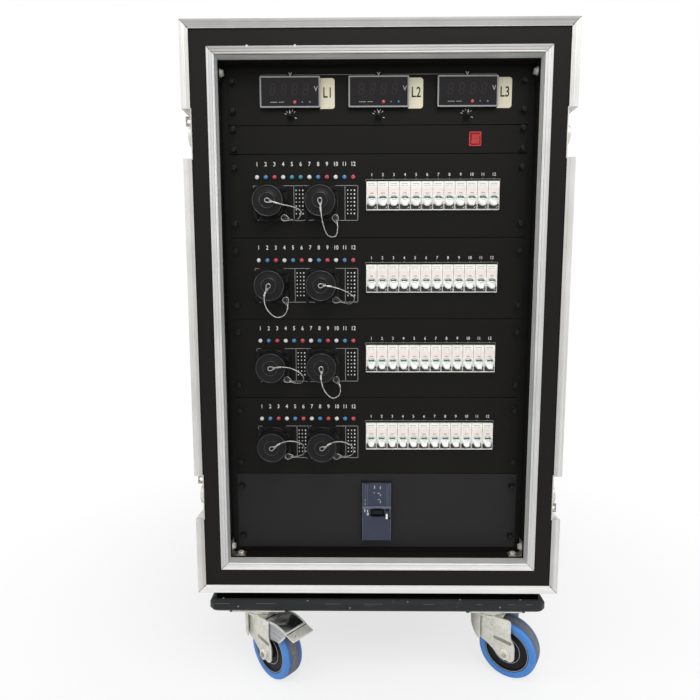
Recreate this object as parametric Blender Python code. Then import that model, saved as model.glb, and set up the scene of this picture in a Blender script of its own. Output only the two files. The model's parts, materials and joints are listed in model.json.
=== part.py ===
"""Power distribution box: rack panels with outlets, meters and breakers in a wheeled flight case.

Metres, +Z up, front towards -Y. The origin is on the floor under the middle of the footprint.
Sizes that can be set by themselves are named below; everything else is worked out from them.
"""

import math

import bmesh
import bpy
from mathutils import Vector

MM = 0.001

# Clearances
TOUCH_GAP = 0.3 * MM
RUNNING_GAP = 0.5 * MM
OVERLAP = 0.5 * MM
CUT_MARGIN = 1.0 * MM

# Flight case
CASE_DEPTH = 600 * MM
FASCIA_SIDE = 27 * MM
FASCIA_TOP = 26 * MM
FASCIA_BOTTOM = 28 * MM
BACK_WALL = 12 * MM
ANGLE_THICKNESS = 1.5 * MM
ANGLE_FACE = 13 * MM
ANGLE_SIDE = 30 * MM

# Opening and its aluminium frame
OPENING_SIDE_GAP = 9.2 * MM
OPENING_TOP_GAP = 2.9 * MM
OPENING_BOTTOM_GAP = 8 * MM
FRAME_FACE = 12.5 * MM
FRAME_LIP = 18 * MM
FRAME_THICKNESS = 1.5 * MM

# Turning catches in the notches of the front side edges
NOTCH_HEIGHT = 74 * MM
NOTCH_DEPTH = ANGLE_FACE
NOTCH_LENGTH = 58 * MM
NOTCH_INSET = 167 * MM
CATCH_PIVOT_SETBACK = 20 * MM
CATCH_DISC_RADIUS = 16 * MM
CATCH_DISC_THICKNESS = 4.9 * MM
CATCH_PIN_RADIUS = 4 * MM
CATCH_PIN_LENGTH = 8 * MM
CATCH_REACH = 36 * MM
CATCH_EAR_START = 17 * MM
CATCH_EAR_LENGTH = 15 * MM
CATCH_EAR_WIDTH = 10 * MM
CATCH_EAR_THICKNESS = 2 * MM
CATCH_HOLE_RADIUS = 3.4 * MM

# Rack
RACK_UNIT = 44.45 * MM
PANEL_WIDTH = 482.6 * MM
PANEL_THICKNESS = 3 * MM
PANEL_SEAM = 0.8 * MM
PANEL_RECESS = 40 * MM
SCREW_EDGE_INSET = 8.75 * MM
SCREW_TOP_INSET = 6.35 * MM
SCREW_HOLE_RADIUS = 3.6 * MM
SCREW_SHANK_RADIUS = 2.5 * MM
SCREW_HEAD_RADIUS = 4.3 * MM
SCREW_HEAD_HEIGHT = 5 * MM
WASHER_RADIUS = 6 * MM
WASHER_THICKNESS = 1.2 * MM
RAIL_THICKNESS = 2 * MM
RAIL_FACE = 26 * MM
RAIL_DEPTH = 30 * MM
CROSS_BAR_HEIGHT = 12 * MM
EAR_HEIGHT = 30 * MM
EAR_REACH = 15 * MM
EAR_BOLT_RADIUS = 5 * MM
EAR_BOLT_HEIGHT = 4 * MM

# Voltmeters and their selector knobs
METER_WIDTH = 96 * MM
METER_HEIGHT = 48 * MM
METER_PITCH = 141 * MM
METER_ROW_CENTRE = 1 * MM
METER_RAISE = 5 * MM
METER_BEZEL_DEPTH = 7 * MM
METER_BODY_DEPTH = 60 * MM
METER_CUTOUT_WIDTH = 92 * MM
METER_CUTOUT_HEIGHT = 45 * MM
METER_WINDOW_MARGIN = 3 * MM
METER_WINDOW_DEPTH = 1.2 * MM
KNOB_DROP = 29.8 * MM
KNOB_RADIUS = 5.5 * MM
KNOB_GRIP_RADIUS = 4.4 * MM
KNOB_HEIGHT = 11 * MM
KNOB_SKIRT = 3 * MM
KNOB_SHAFT_RADIUS = 2.5 * MM
SWITCH_BODY_SIZE = 16 * MM
SWITCH_BODY_DEPTH = 14 * MM

# Rocker switch
ROCKER_OFFSET = 156.5 * MM
ROCKER_BEZEL_WIDTH = 19 * MM
ROCKER_BEZEL_HEIGHT = 22 * MM
ROCKER_BEZEL_PROUD = 1.5 * MM
ROCKER_WIDTH = 14 * MM
ROCKER_HALF_HEIGHT = 7.8 * MM
ROCKER_WELL_DEPTH = 12 * MM
ROCKER_TILT = math.radians(8)

# Outlet panels
LAMP_COUNT = 12
LAMP_PITCH = 14.2 * MM
LAMP_FIRST = -196 * MM
LAMP_RAISE = 30.3 * MM
LAMP_RADIUS = 3.5 * MM
LAMP_PROUD = 2 * MM
SOCKET_CENTRES = {"left": -175 * MM, "right": -92 * MM}
SOCKET_DROP = 12 * MM
FLANGE_SIZE = 56 * MM
FLANGE_CORNER = 6 * MM
FLANGE_THICKNESS = 4 * MM
FLANGE_SCREW_OFFSET = 23 * MM
FLANGE_SCREW_RADIUS = 4 * MM
FLANGE_SCREW_HEIGHT = 3 * MM
BARREL_RADIUS = 19 * MM
BARREL_LENGTH = 20 * MM
SOCKET_BODY_RADIUS = 22 * MM
SOCKET_BODY_DEPTH = 30 * MM
CAP_RADIUS = 25 * MM
CAP_HEIGHT = 29 * MM
CAP_CHAMFER = 2.5 * MM
CAP_BORE_CLEARANCE = 0.9 * MM
BOSS_RADIUS = 12 * MM
BOSS_HEIGHT = 2 * MM
POST_RADIUS = 3.5 * MM
POST_HEIGHT = 3 * MM

# Circuit breakers of the outlet panels
BREAKER_COUNT = 12
BREAKER_WIDTH = 18 * MM
BREAKER_FIRST_EDGE = -18.6 * MM
BREAKER_NOSE_HEIGHT = 46 * MM
BREAKER_BODY_HEIGHT = 84 * MM
BREAKER_PROUD = 4 * MM
BREAKER_NOSE_DEPTH = 12 * MM
BREAKER_DEPTH = 62 * MM
BREAKER_CUTOUT_CLEARANCE = 0.5 * MM
LEVER_PIVOT_DROP = 8 * MM
LEVER_PIVOT_DEPTH = 4 * MM
LEVER_WIDTH = 13 * MM
LEVER_REACH = 15.5 * MM
LEVER_TIP_THICKNESS = 4.4 * MM
LEVER_DRUM_RADIUS = 7.6 * MM
LEVER_TILT = math.radians(35)
LEVER_ROD_SIZE = 4 * MM
LEVER_WINDOW_TOP = 8.4 * MM
LEVER_WINDOW_BOTTOM = 14 * MM
LEVER_WINDOW_DEPTH = 15 * MM

# Main breaker
MAIN_WIDTH = 49 * MM
MAIN_HEIGHT = 102 * MM
MAIN_PROUD = 8 * MM
MAIN_STEP_HEIGHT = 10 * MM
MAIN_STEP_DEPTH = 1.5 * MM
MAIN_BODY_WIDTH = 105 * MM
MAIN_BODY_HEIGHT = 130 * MM
MAIN_BODY_SETBACK = 4 * MM
MAIN_BODY_DEPTH = 70 * MM
MAIN_SLOT_WIDTH = 23.6 * MM
MAIN_SLOT_HEIGHT = 13.6 * MM
MAIN_SLOT_DEPTH = 18 * MM
MAIN_SLOT_OFFSET = 1.3 * MM
MAIN_SLOT_DROP = 1 * MM
MAIN_LEVER_WIDTH = 17 * MM
MAIN_LEVER_THICKNESS = 6 * MM
MAIN_LEVER_PROUD = 8 * MM
MAIN_PIVOT_DEPTH = 12 * MM
MAIN_PIN_RADIUS = 2 * MM
MAIN_PIN_OVERHANG = 2.5 * MM
MAIN_LEVER_TILT = math.radians(11)
TRIP_OFFSET = 17.4 * MM
TRIP_DROP = 7.3 * MM
TRIP_WIDTH = 3.4 * MM
TRIP_HEIGHT = 8.8 * MM
TRIP_PROUD = 1.5 * MM
TRIP_DEPTH = 4 * MM
TRIP_TRAVEL = 1.5 * MM

# Wheel board
BOARD_SIDE_INSET = 17 * MM
BOARD_THICKNESS = 36 * MM
BOARD_CORNER = 8 * MM
BOARD_LOWER_BEVEL = 5 * MM
BOARD_UPPER_BEVEL = 12 * MM
BOARD_STRAIGHT_TOP = 16 * MM

# Casters
CASTER_INSET_X = 100 * MM
CASTER_INSET_Y = 50 * MM
CASTER_PLATE_LENGTH = 100 * MM
CASTER_PLATE_WIDTH = 85 * MM
CASTER_PLATE_THICKNESS = 4 * MM
RACE_RADIUS = 25 * MM
RACE_HEIGHT = 2 * MM
KINGPIN_RADIUS = 6 * MM
KINGPIN_NUT_RADIUS = 9 * MM
KINGPIN_NUT_HEIGHT = 3 * MM
TRAIL = 38 * MM
WHEEL_RADIUS = 50 * MM
WHEEL_WIDTH = 36 * MM
TREAD_WIDTH = 22 * MM
TYRE_SHOULDER = 3 * MM
TYRE_HEIGHT = 12 * MM
HUB_RECESS = 4 * MM
HUB_RADIUS = 12 * MM
AXLE_RADIUS = 6 * MM
AXLE_HEAD_RADIUS = 10 * MM
AXLE_HEAD_HEIGHT = 5 * MM
FORK_THICKNESS = 3 * MM
FORK_CLEARANCE = 4.5 * MM
FORK_LENGTH_BACK = 16 * MM
FORK_LENGTH_FRONT = 45 * MM
FORK_TOE_RADIUS = 10 * MM
FORK_TOE_FORWARD = 5.5 * MM
FORK_TOE_DROP = 6.5 * MM
FORK_TYRE_GAP = 4.5 * MM
CUP_RADIUS = 31 * MM
CUP_HEIGHT = 17 * MM
CROWN_LENGTH_FRONT = 30 * MM
CROWN_THICKNESS = 4 * MM
PEDAL_PIVOT_FORWARD = 40 * MM
PEDAL_PIVOT_DROP = 2.5 * MM
PEDAL_PIN_RADIUS = 3 * MM
PEDAL_THICKNESS = 3.2 * MM
PEDAL_TYRE_GAP = 2.6 * MM
PEDAL_RISE = 22 * MM
PEDAL_FIRST_ANGLE = 95.4
PEDAL_LAST_ANGLE = 47
PEDAL_CHEEK_CLEARANCE = 2 * MM
PEDAL_CHEEK_RADIUS = 38 * MM
TREAD_LIP_WIDTH = 44 * MM
TREAD_LIP_LENGTH = 20 * MM
TREAD_LIP_SLOPE = math.radians(12)

# Wire lanyards of the socket caps
WIRE_DIAMETER = 2 * MM
WIRE_STEP = 2.9 * WIRE_DIAMETER

# Facets of round pieces
WHEEL_SIDES = 20
CAP_SIDES = 20
BORE_SIDES = 16
PIN_SIDES = 12
SMALL_SIDES = 8
LAMP_SIDES = 6

# Rack panels from the top down: node name and height in rack units
PANELS = (
    ("meter_panel", 2),
    ("switch_panel", 1),
    ("outlet_panel_1", 3),
    ("outlet_panel_2", 3),
    ("outlet_panel_3", 3),
    ("outlet_panel_4", 3),
    ("main_panel", 3),
)

# Worked out from the sizes above
FRONT = -CASE_DEPTH / 2
STACK_UNITS = sum(units for _, units in PANELS)
OPENING_WIDTH = PANEL_WIDTH + 2 * OPENING_SIDE_GAP
OPENING_HEIGHT = OPENING_BOTTOM_GAP + STACK_UNITS * RACK_UNIT + OPENING_TOP_GAP
SILL_HEIGHT = FRAME_FACE + FASCIA_BOTTOM + ANGLE_FACE
CASE_WIDTH = OPENING_WIDTH + 2 * (FRAME_FACE + FASCIA_SIDE + ANGLE_FACE)
CASE_HEIGHT = SILL_HEIGHT + OPENING_HEIGHT + FRAME_FACE + FASCIA_TOP + ANGLE_FACE
CUP_BOTTOM = 2 * WHEEL_RADIUS + FORK_TYRE_GAP
CUP_TOP = CUP_BOTTOM + CUP_HEIGHT
CASTER_HEIGHT = CUP_TOP + RUNNING_GAP + RACE_HEIGHT + CASTER_PLATE_THICKNESS
PEDAL_PIVOT_HEIGHT = 2 * WHEEL_RADIUS - PEDAL_PIVOT_DROP
BOARD_WIDTH = CASE_WIDTH - 2 * BOARD_SIDE_INSET
CASE_BASE = CASTER_HEIGHT + BOARD_THICKNESS
CASE_TOP = CASE_BASE + CASE_HEIGHT
SILL = CASE_BASE + SILL_HEIGHT
LINTEL = SILL + OPENING_HEIGHT
SKIN = ANGLE_THICKNESS + TOUCH_GAP
LINING = FRAME_THICKNESS + TOUCH_GAP
CAVITY_HALF_WIDTH = OPENING_WIDTH / 2 + LINING
CAVITY_BOTTOM = SILL - LINING
CAVITY_TOP = LINTEL + LINING
PANEL_FRONT = FRONT + PANEL_RECESS
PANEL_BACK = PANEL_FRONT + PANEL_THICKNESS
STACK_BOTTOM = SILL + OPENING_BOTTOM_GAP
NOTCH_FLOOR = CASE_WIDTH / 2 - NOTCH_DEPTH
CATCH_Y = FRONT + CATCH_PIVOT_SETBACK
FLANGE_FRONT = PANEL_FRONT - FLANGE_THICKNESS
FORK_INNER = WHEEL_WIDTH / 2 + FORK_CLEARANCE
FORK_OUTER = FORK_INNER + FORK_THICKNESS

# Catches: side, whether it is the upper one, and the turn of its ear back from upright
CATCHES = {
    "left_top_catch": (-1, True, 0),
    "left_bottom_catch": (-1, False, 0),
    "right_top_catch": (1, True, 90),
    "right_bottom_catch": (1, False, 180),
}

# Casters: side, end (-1 is the front), direction in which the wheel trails, brake
CASTERS = {
    "front_left": (-1, -1, math.radians(-43), True),
    "front_right": (1, -1, math.radians(-33), False),
    "rear_right": (1, 1, math.radians(137), True),
    "rear_left": (-1, 1, math.radians(147), False),
}

# Lanyard routes from the cap's post to the flange screw, in millimetres right of,
# in front of (from the panel's face) and above the cap's centre
LANYARD_ROUTES = {
    "outlet_1_left": ((3.8, 37, -1), (24, 38, -7), (43, 36, -11), (53, 31, -17), (47, 21, -27), (36, 10, -27)),
    "outlet_1_right": ((0.5, 37, -3.8), (2, 38, -20), (5, 34, -38), (12, 27, -54), (24, 19, -54), (27, 10, -38)),
    "outlet_2_left": ((-1.5, 37, -3.5), (-7, 38, -18), (-4, 35, -36), (9, 30, -50), (22, 21, -48), (27, 10, -36)),
    "outlet_2_right": ((3.8, 37, 0.5), (20, 38, -2), (40, 37, -9), (54, 30, -19), (48, 18, -29), (36, 9, -27)),
    "outlet_3_left": ((3.8, 37, 0.5), (20, 39, 3), (39, 38, -1), (53, 31, -13), (50, 19, -26), (37, 9, -28)),
    "outlet_3_right": ((0.5, 37, -3.8), (0, 38, -19), (6, 36, -38), (18, 30, -50), (29, 20, -46), (30, 10, -34)),
    "outlet_4_left": ((3.4, 37, 1.6), (18, 39, 11), (36, 38, 13), (52, 32, 5), (52, 19, -13), (38, 9, -22)),
    "outlet_4_right": ((3.4, 37, 1.6), (18, 39, 11), (35, 38, 12), (50, 32, 3), (51, 19, -14), (38, 9, -22)),
}


def material(name, colour, roughness, metallic=0.0):
    """A Principled material with an even finish."""
    made = bpy.data.materials.new(name)
    made.use_nodes = True
    shader = made.node_tree.nodes["Principled BSDF"]
    shader.inputs["Base Color"].default_value = (*colour, 1.0)
    shader.inputs["Roughness"].default_value = roughness
    shader.inputs["Metallic"].default_value = metallic
    made.diffuse_color = (*colour, 1.0)
    return made


def on_axis(axis, along, u, v):
    """A point at a distance along an axis, with u and v on the other two axes in X, Y, Z order."""
    return {"X": (along, u, v), "Y": (u, along, v), "Z": (u, v, along)}[axis]


def box(low, high):
    """Points and faces of a box between two corners."""
    points = [(x, y, z) for x in (low[0], high[0]) for y in (low[1], high[1]) for z in (low[2], high[2])]
    faces = [(0, 1, 3, 2), (4, 6, 7, 5), (0, 4, 5, 1), (2, 3, 7, 6), (0, 2, 6, 4), (1, 5, 7, 3)]
    return points, faces


def centred_box(centre, size):
    """A box by its centre and its full size."""
    low = [c - s / 2 for c, s in zip(centre, size)]
    high = [c + s / 2 for c, s in zip(centre, size)]
    return box(low, high)


def loft(rings):
    """A closed solid through rings of equally many points, one after the other."""
    count = len(rings[0])
    points = [point for ring in rings for point in ring]
    faces = [tuple(range(count)), tuple(range(len(points) - count, len(points)))]
    for ring in range(len(rings) - 1):
        first = ring * count
        for i in range(count):
            after = (i + 1) % count
            faces.append((first + i, first + after, first + count + after, first + count + i))
    return points, faces


def prism(axis, outline, start, end):
    """An outline, given on the two other axes in X, Y, Z order, extruded along an axis."""
    return loft([[on_axis(axis, along, u, v) for u, v in outline] for along in (start, end)])


def ring_points(axis, sides, radius, along, centre):
    """Points of a regular ring, with a flat side towards each of the other axes."""
    points = []
    for i in range(sides):
        angle = 2 * math.pi * (i + 0.5) / sides
        u = radius * math.cos(angle)
        v = radius * math.sin(angle)
        points.append(tuple(c + p for c, p in zip(centre, on_axis(axis, along, u, v))))
    return points


def lathe(axis, profile, sides, centre=(0, 0, 0)):
    """A turned solid: its profile is a list of radius and distance along the axis."""
    return loft([ring_points(axis, sides, radius, along, centre) for radius, along in profile])


def cylinder(axis, radius, start, end, sides, centre=(0, 0, 0)):
    """A round bar between two distances along an axis."""
    return lathe(axis, [(radius, start), (radius, end)], sides, centre)


def turned_ring(axis, profile, sides, centre=(0, 0, 0)):
    """A turned ring: its profile closes on itself, clear of the axis."""
    rings = [ring_points(axis, sides, radius, along, centre) for radius, along in profile]
    points = [point for ring in rings for point in ring]
    faces = []
    for ring in range(len(rings)):
        first = ring * sides
        second = (ring + 1) % len(rings) * sides
        for i in range(sides):
            after = (i + 1) % sides
            faces.append((first + i, first + after, second + after, second + i))
    return points, faces


def arc(centre, radius, first, last, steps):
    """Points on an arc between two angles in degrees."""
    points = []
    for i in range(steps + 1):
        angle = math.radians(first + (last - first) * i / steps)
        points.append((centre[0] + radius * math.cos(angle), centre[1] + radius * math.sin(angle)))
    return points


def turned_outline(outline, angle):
    """An outline turned about its origin."""
    c = math.cos(angle)
    s = math.sin(angle)
    return [(u * c - v * s, u * s + v * c) for u, v in outline]


def new_object(name, shapes, finish):
    """An object from one or more shapes that don't touch, with its faces pointing out."""
    mesh = bpy.data.meshes.new(name)
    work = bmesh.new()
    for points, faces in shapes:
        corners = [work.verts.new(point) for point in points]
        for face in faces:
            work.faces.new([corners[i] for i in face])
    bmesh.ops.recalc_face_normals(work, faces=work.faces)
    work.to_mesh(mesh)
    work.free()
    mesh.shade_smooth()
    mesh.set_sharp_from_angle(angle=math.radians(35))
    mesh.materials.append(finish)
    made = bpy.data.objects.new(name, mesh)
    bpy.context.scene.collection.objects.link(made)
    return made


def node(name, finish, shapes, *steps, at=(0, 0, 0), carrier=None):
    """A piece of the object: its first shapes, then Boolean steps of an operation and its shapes."""
    piece = new_object(name, shapes, finish)
    piece.location = at
    piece.parent = carrier
    for number, (operation, operands) in enumerate(steps):
        helper = new_object(f"{name}.{operation.lower()}_{number}", operands, finish)
        helper.parent = piece
        helper.hide_render = True
        helper.display_type = "WIRE"
        boolean = piece.modifiers.new(f"{operation.title()} {number}", "BOOLEAN")
        boolean.operation = operation
        boolean.object = helper
        boolean.solver = "EXACT"
    return piece


def empty(name, at, turn):
    """A carrier for pieces that share a pivot."""
    carrier = bpy.data.objects.new(name, None)
    carrier.location = at
    carrier.rotation_euler.z = turn
    bpy.context.scene.collection.objects.link(carrier)
    return carrier


def notch_boxes(growth, front, outer):
    """The four notches that hold the catches, grown on the sides that meet the case."""
    boxes = []
    for side, upper, _ in CATCHES.values():
        middle = catch_height(upper)
        low_x, high_x = sorted((side * (NOTCH_FLOOR - growth), side * outer))
        reach = NOTCH_HEIGHT / 2 + growth
        low = (low_x, front, middle - reach)
        high = (high_x, FRONT + NOTCH_LENGTH + growth, middle + reach)
        boxes.append(box(low, high))
    return boxes


def catch_pin_bores():
    """The bores of the catches' pins through the lining and into the wall."""
    bores = []
    for side, upper, _ in CATCHES.values():
        start = side * (NOTCH_FLOOR - CATCH_PIN_LENGTH - CUT_MARGIN)
        end = side * (NOTCH_FLOOR + CUT_MARGIN)
        centre = (0, CATCH_Y, catch_height(upper))
        radius = CATCH_PIN_RADIUS + RUNNING_GAP
        bores.append(cylinder("X", radius, start, end, SMALL_SIDES, centre))
    return bores


def catch_height(upper):
    """Height of a catch's pivot."""
    return CASE_TOP - NOTCH_INSET if upper else CASE_BASE + NOTCH_INSET


def make_case_shell(finish):
    """The walls of the case, with the cavity that opens to the front."""
    half_width = CASE_WIDTH / 2 - SKIN
    outside = box(
        (-half_width, FRONT + SKIN, CASE_BASE + SKIN),
        (half_width, -FRONT - SKIN, CASE_TOP - SKIN),
    )
    cavity = box(
        (-CAVITY_HALF_WIDTH, FRONT - CUT_MARGIN, CAVITY_BOTTOM),
        (CAVITY_HALF_WIDTH, -FRONT - BACK_WALL, CAVITY_TOP),
    )
    notches = notch_boxes(SKIN, FRONT - CUT_MARGIN, CASE_WIDTH / 2 + CUT_MARGIN)
    node(
        "case_shell",
        finish,
        [outside],
        ("DIFFERENCE", [cavity]),
        ("DIFFERENCE", notches),
        ("DIFFERENCE", catch_pin_bores()),
    )


def make_edge_angles(finish):
    """The aluminium angle along the twelve edges of the case, with the linings of the notches."""
    half_width = CASE_WIDTH / 2
    outside = box((-half_width, FRONT, CASE_BASE), (half_width, -FRONT, CASE_TOP))
    t = ANGLE_THICKNESS
    inside = box(
        (-half_width + t, FRONT + t, CASE_BASE + t),
        (half_width - t, -FRONT - t, CASE_TOP - t),
    )
    through_y = box(
        (-half_width + ANGLE_FACE, FRONT - CUT_MARGIN, CASE_BASE + ANGLE_FACE),
        (half_width - ANGLE_FACE, -FRONT + CUT_MARGIN, CASE_TOP - ANGLE_FACE),
    )
    through_x = box(
        (-half_width - CUT_MARGIN, FRONT + ANGLE_SIDE, CASE_BASE + ANGLE_SIDE),
        (half_width + CUT_MARGIN, -FRONT - ANGLE_SIDE, CASE_TOP - ANGLE_SIDE),
    )
    through_z = box(
        (-half_width + ANGLE_SIDE, FRONT + ANGLE_SIDE, CASE_BASE - CUT_MARGIN),
        (half_width - ANGLE_SIDE, -FRONT - ANGLE_SIDE, CASE_TOP + CUT_MARGIN),
    )
    linings = notch_boxes(t, FRONT + t / 3, half_width - t / 3)
    notches = notch_boxes(0, FRONT - CUT_MARGIN, half_width + CUT_MARGIN)
    node(
        "edge_angles",
        finish,
        [outside],
        ("DIFFERENCE", [through_x]),
        ("DIFFERENCE", [through_y]),
        ("DIFFERENCE", [through_z]),
        ("DIFFERENCE", [inside]),
        ("UNION", linings),
        ("DIFFERENCE", notches),
        ("DIFFERENCE", catch_pin_bores()),
    )


def make_opening_frame(finish):
    """The aluminium frame round the opening: a flat face and a lip that lines the edge."""
    half_width = OPENING_WIDTH / 2
    face = box(
        (-half_width - FRAME_FACE, FRONT, SILL - FRAME_FACE),
        (half_width + FRAME_FACE, FRONT + FRAME_THICKNESS, LINTEL + FRAME_FACE),
    )
    lip = box(
        (-half_width - FRAME_THICKNESS, FRONT + OVERLAP, SILL - FRAME_THICKNESS),
        (half_width + FRAME_THICKNESS, FRONT + FRAME_LIP, LINTEL + FRAME_THICKNESS),
    )
    opening = box(
        (-half_width, FRONT - CUT_MARGIN, SILL),
        (half_width, FRONT + FRAME_LIP + CUT_MARGIN, LINTEL),
    )
    node("opening_frame", finish, [face], ("UNION", [lip]), ("DIFFERENCE", [opening]))


def panel_rows():
    """Name, rack units and centre height of each panel, from the top down."""
    rows = []
    top = STACK_BOTTOM + RACK_UNIT * STACK_UNITS
    for name, units in PANELS:
        rows.append((name, units, top - RACK_UNIT * units / 2))
        top -= RACK_UNIT * units
    return rows


def screw_places(units, middle):
    """The four rack screws of a panel."""
    tall = {1: RACK_UNIT / 2 - SCREW_TOP_INSET, 2: RACK_UNIT / 2, 3: RACK_UNIT}
    offset = tall[units]
    x = PANEL_WIDTH / 2 - SCREW_EDGE_INSET
    return [(side * x, 0, middle + rise * offset) for side in (-1, 1) for rise in (-1, 1)]


def make_rack_frame(finish):
    """The welded rack frame with its corner ears, their bolts and the panel screws."""
    face_front = PANEL_BACK + TOUCH_GAP
    face_back = face_front + RAIL_THICKNESS
    wall = CAVITY_HALF_WIDTH - TOUCH_GAP
    bottom = CAVITY_BOTTOM + TOUCH_GAP
    top = CAVITY_TOP - TOUCH_GAP
    plate = box((-wall, face_front, bottom), (wall, face_back, top))
    between = box(
        (-wall + RAIL_FACE, face_front - CUT_MARGIN, bottom + CROSS_BAR_HEIGHT),
        (wall - RAIL_FACE, face_back + CUT_MARGIN, top - CROSS_BAR_HEIGHT),
    )
    sides = []
    ears = []
    bolts = []
    for side in (-1, 1):
        inner = side * (wall - RAIL_THICKNESS)
        outer = side * wall
        low_x, high_x = sorted((inner, outer))
        leg_front = face_front + OVERLAP
        sides.append(box((low_x, leg_front, bottom), (high_x, leg_front + RAIL_DEPTH, top)))
        for low_z in (bottom, top - EAR_HEIGHT):
            ears.append(
                box((low_x, PANEL_FRONT - EAR_REACH, low_z), (high_x, face_back, low_z + EAR_HEIGHT))
            )
            centre = (0, PANEL_FRONT - EAR_REACH / 2, low_z + EAR_HEIGHT / 2)
            start = side * (wall - RAIL_THICKNESS - EAR_BOLT_HEIGHT)
            end = side * (wall - RAIL_THICKNESS / 2)
            bolts.append(cylinder("X", EAR_BOLT_RADIUS, start, end, LAMP_SIDES, centre))
    washer_front = PANEL_FRONT - TOUCH_GAP - WASHER_THICKNESS
    head_front = washer_front - SCREW_HEAD_HEIGHT
    screw_profile = [
        (SCREW_HEAD_RADIUS, head_front),
        (SCREW_HEAD_RADIUS, washer_front),
        (WASHER_RADIUS, washer_front),
        (WASHER_RADIUS, washer_front + WASHER_THICKNESS),
        (SCREW_SHANK_RADIUS, washer_front + WASHER_THICKNESS),
        (SCREW_SHANK_RADIUS, face_back + CUT_MARGIN),
    ]
    screws = []
    for _, units, middle in panel_rows():
        for place in screw_places(units, middle):
            screws.append(lathe("Y", screw_profile, LAMP_SIDES, place))
    node(
        "rack_frame",
        finish,
        [plate],
        ("DIFFERENCE", [between]),
        ("UNION", sides),
        ("UNION", ears),
        ("UNION", bolts),
        ("UNION", screws),
    )


def panel_plate(units, middle):
    """The plate of a rack panel."""
    half_height = (RACK_UNIT * units - PANEL_SEAM) / 2
    return box(
        (-PANEL_WIDTH / 2, PANEL_FRONT, middle - half_height),
        (PANEL_WIDTH / 2, PANEL_BACK, middle + half_height),
    )


def through_panel(x, z, width, height):
    """A rectangular cut through a panel's plate."""
    return box(
        (x - width / 2, PANEL_FRONT - CUT_MARGIN, z - height / 2),
        (x + width / 2, PANEL_BACK + CUT_MARGIN, z + height / 2),
    )


def screw_holes(units, middle):
    """Clearance holes for a panel's rack screws."""
    start = PANEL_FRONT - CUT_MARGIN
    end = PANEL_BACK + CUT_MARGIN
    return [
        cylinder("Y", SCREW_HOLE_RADIUS, start, end, SMALL_SIDES, place)
        for place in screw_places(units, middle)
    ]


def meter_places(middle):
    """Centres of the voltmeters, left to right."""
    return [(METER_ROW_CENTRE + METER_PITCH * i, middle + METER_RAISE) for i in (-1, 0, 1)]


def make_meter_panel(name, units, middle, finishes):
    """The plate with three voltmeters and the knob of each one's selector switch."""
    cutouts = []
    switch_bodies = []
    shaft_bores = []
    knob_z = middle - KNOB_DROP
    for x, z in meter_places(middle):
        cutouts.append(through_panel(x, z, METER_CUTOUT_WIDTH, METER_CUTOUT_HEIGHT))
        half = SWITCH_BODY_SIZE / 2
        switch_bodies.append(
            box(
                (x - half, PANEL_BACK - OVERLAP, knob_z - half),
                (x + half, PANEL_BACK + SWITCH_BODY_DEPTH, knob_z + half),
            )
        )
        shaft_bores.append(
            cylinder(
                "Y",
                KNOB_SHAFT_RADIUS + RUNNING_GAP,
                PANEL_FRONT - CUT_MARGIN,
                PANEL_BACK + SWITCH_BODY_DEPTH - 2 * CUT_MARGIN,
                SMALL_SIDES,
                (x, 0, knob_z),
            )
        )
    node(
        name,
        finishes["panel"],
        [panel_plate(units, middle)],
        ("UNION", switch_bodies),
        ("DIFFERENCE", cutouts),
        ("DIFFERENCE", screw_holes(units, middle) + shaft_bores),
    )
    for number, (x, z) in enumerate(meter_places(middle), 1):
        make_voltmeter(f"voltmeter_{number}", x, z, finishes["meter"])
        make_knob(f"selector_knob_{number}", (x, PANEL_FRONT, knob_z), finishes["knob"])


def make_voltmeter(name, x, z, finish):
    """A panel meter: its bezel with a sunk window, and its body behind the panel."""
    front = PANEL_FRONT - TOUCH_GAP - METER_BEZEL_DEPTH
    bezel_back = PANEL_FRONT - TOUCH_GAP
    bezel = centred_box((x, (front + bezel_back) / 2, z), (METER_WIDTH, METER_BEZEL_DEPTH, METER_HEIGHT))
    body_size = (
        METER_CUTOUT_WIDTH - 2 * RUNNING_GAP,
        METER_BODY_DEPTH,
        METER_CUTOUT_HEIGHT - 2 * RUNNING_GAP,
    )
    body = centred_box((x, bezel_back - OVERLAP + METER_BODY_DEPTH / 2, z), body_size)
    window_size = (
        METER_WIDTH - 2 * METER_WINDOW_MARGIN,
        2 * METER_WINDOW_DEPTH,
        METER_HEIGHT - 2 * METER_WINDOW_MARGIN,
    )
    window = centred_box((x, front, z), window_size)
    node(name, finish, [bezel], ("UNION", [body]), ("DIFFERENCE", [window]))


def make_knob(name, at, finish):
    """A selector knob with a skirt, a grip, a pointer and its shaft, turning about Y."""
    shaft_end = PANEL_THICKNESS + SWITCH_BODY_DEPTH - 3 * CUT_MARGIN
    profile = [
        (KNOB_GRIP_RADIUS, -KNOB_HEIGHT),
        (KNOB_GRIP_RADIUS, -KNOB_SKIRT),
        (KNOB_RADIUS, -KNOB_SKIRT),
        (KNOB_RADIUS, -RUNNING_GAP),
        (KNOB_SHAFT_RADIUS, -RUNNING_GAP),
        (KNOB_SHAFT_RADIUS, shaft_end),
    ]
    pointer = box(
        (-KNOB_GRIP_RADIUS / 5, -KNOB_HEIGHT - CUT_MARGIN, 0),
        (KNOB_GRIP_RADIUS / 5, -KNOB_SKIRT - CUT_MARGIN, KNOB_RADIUS),
    )
    node(name, finish, [lathe("Y", profile, SMALL_SIDES)], ("UNION", [pointer]), at=at)


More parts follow.
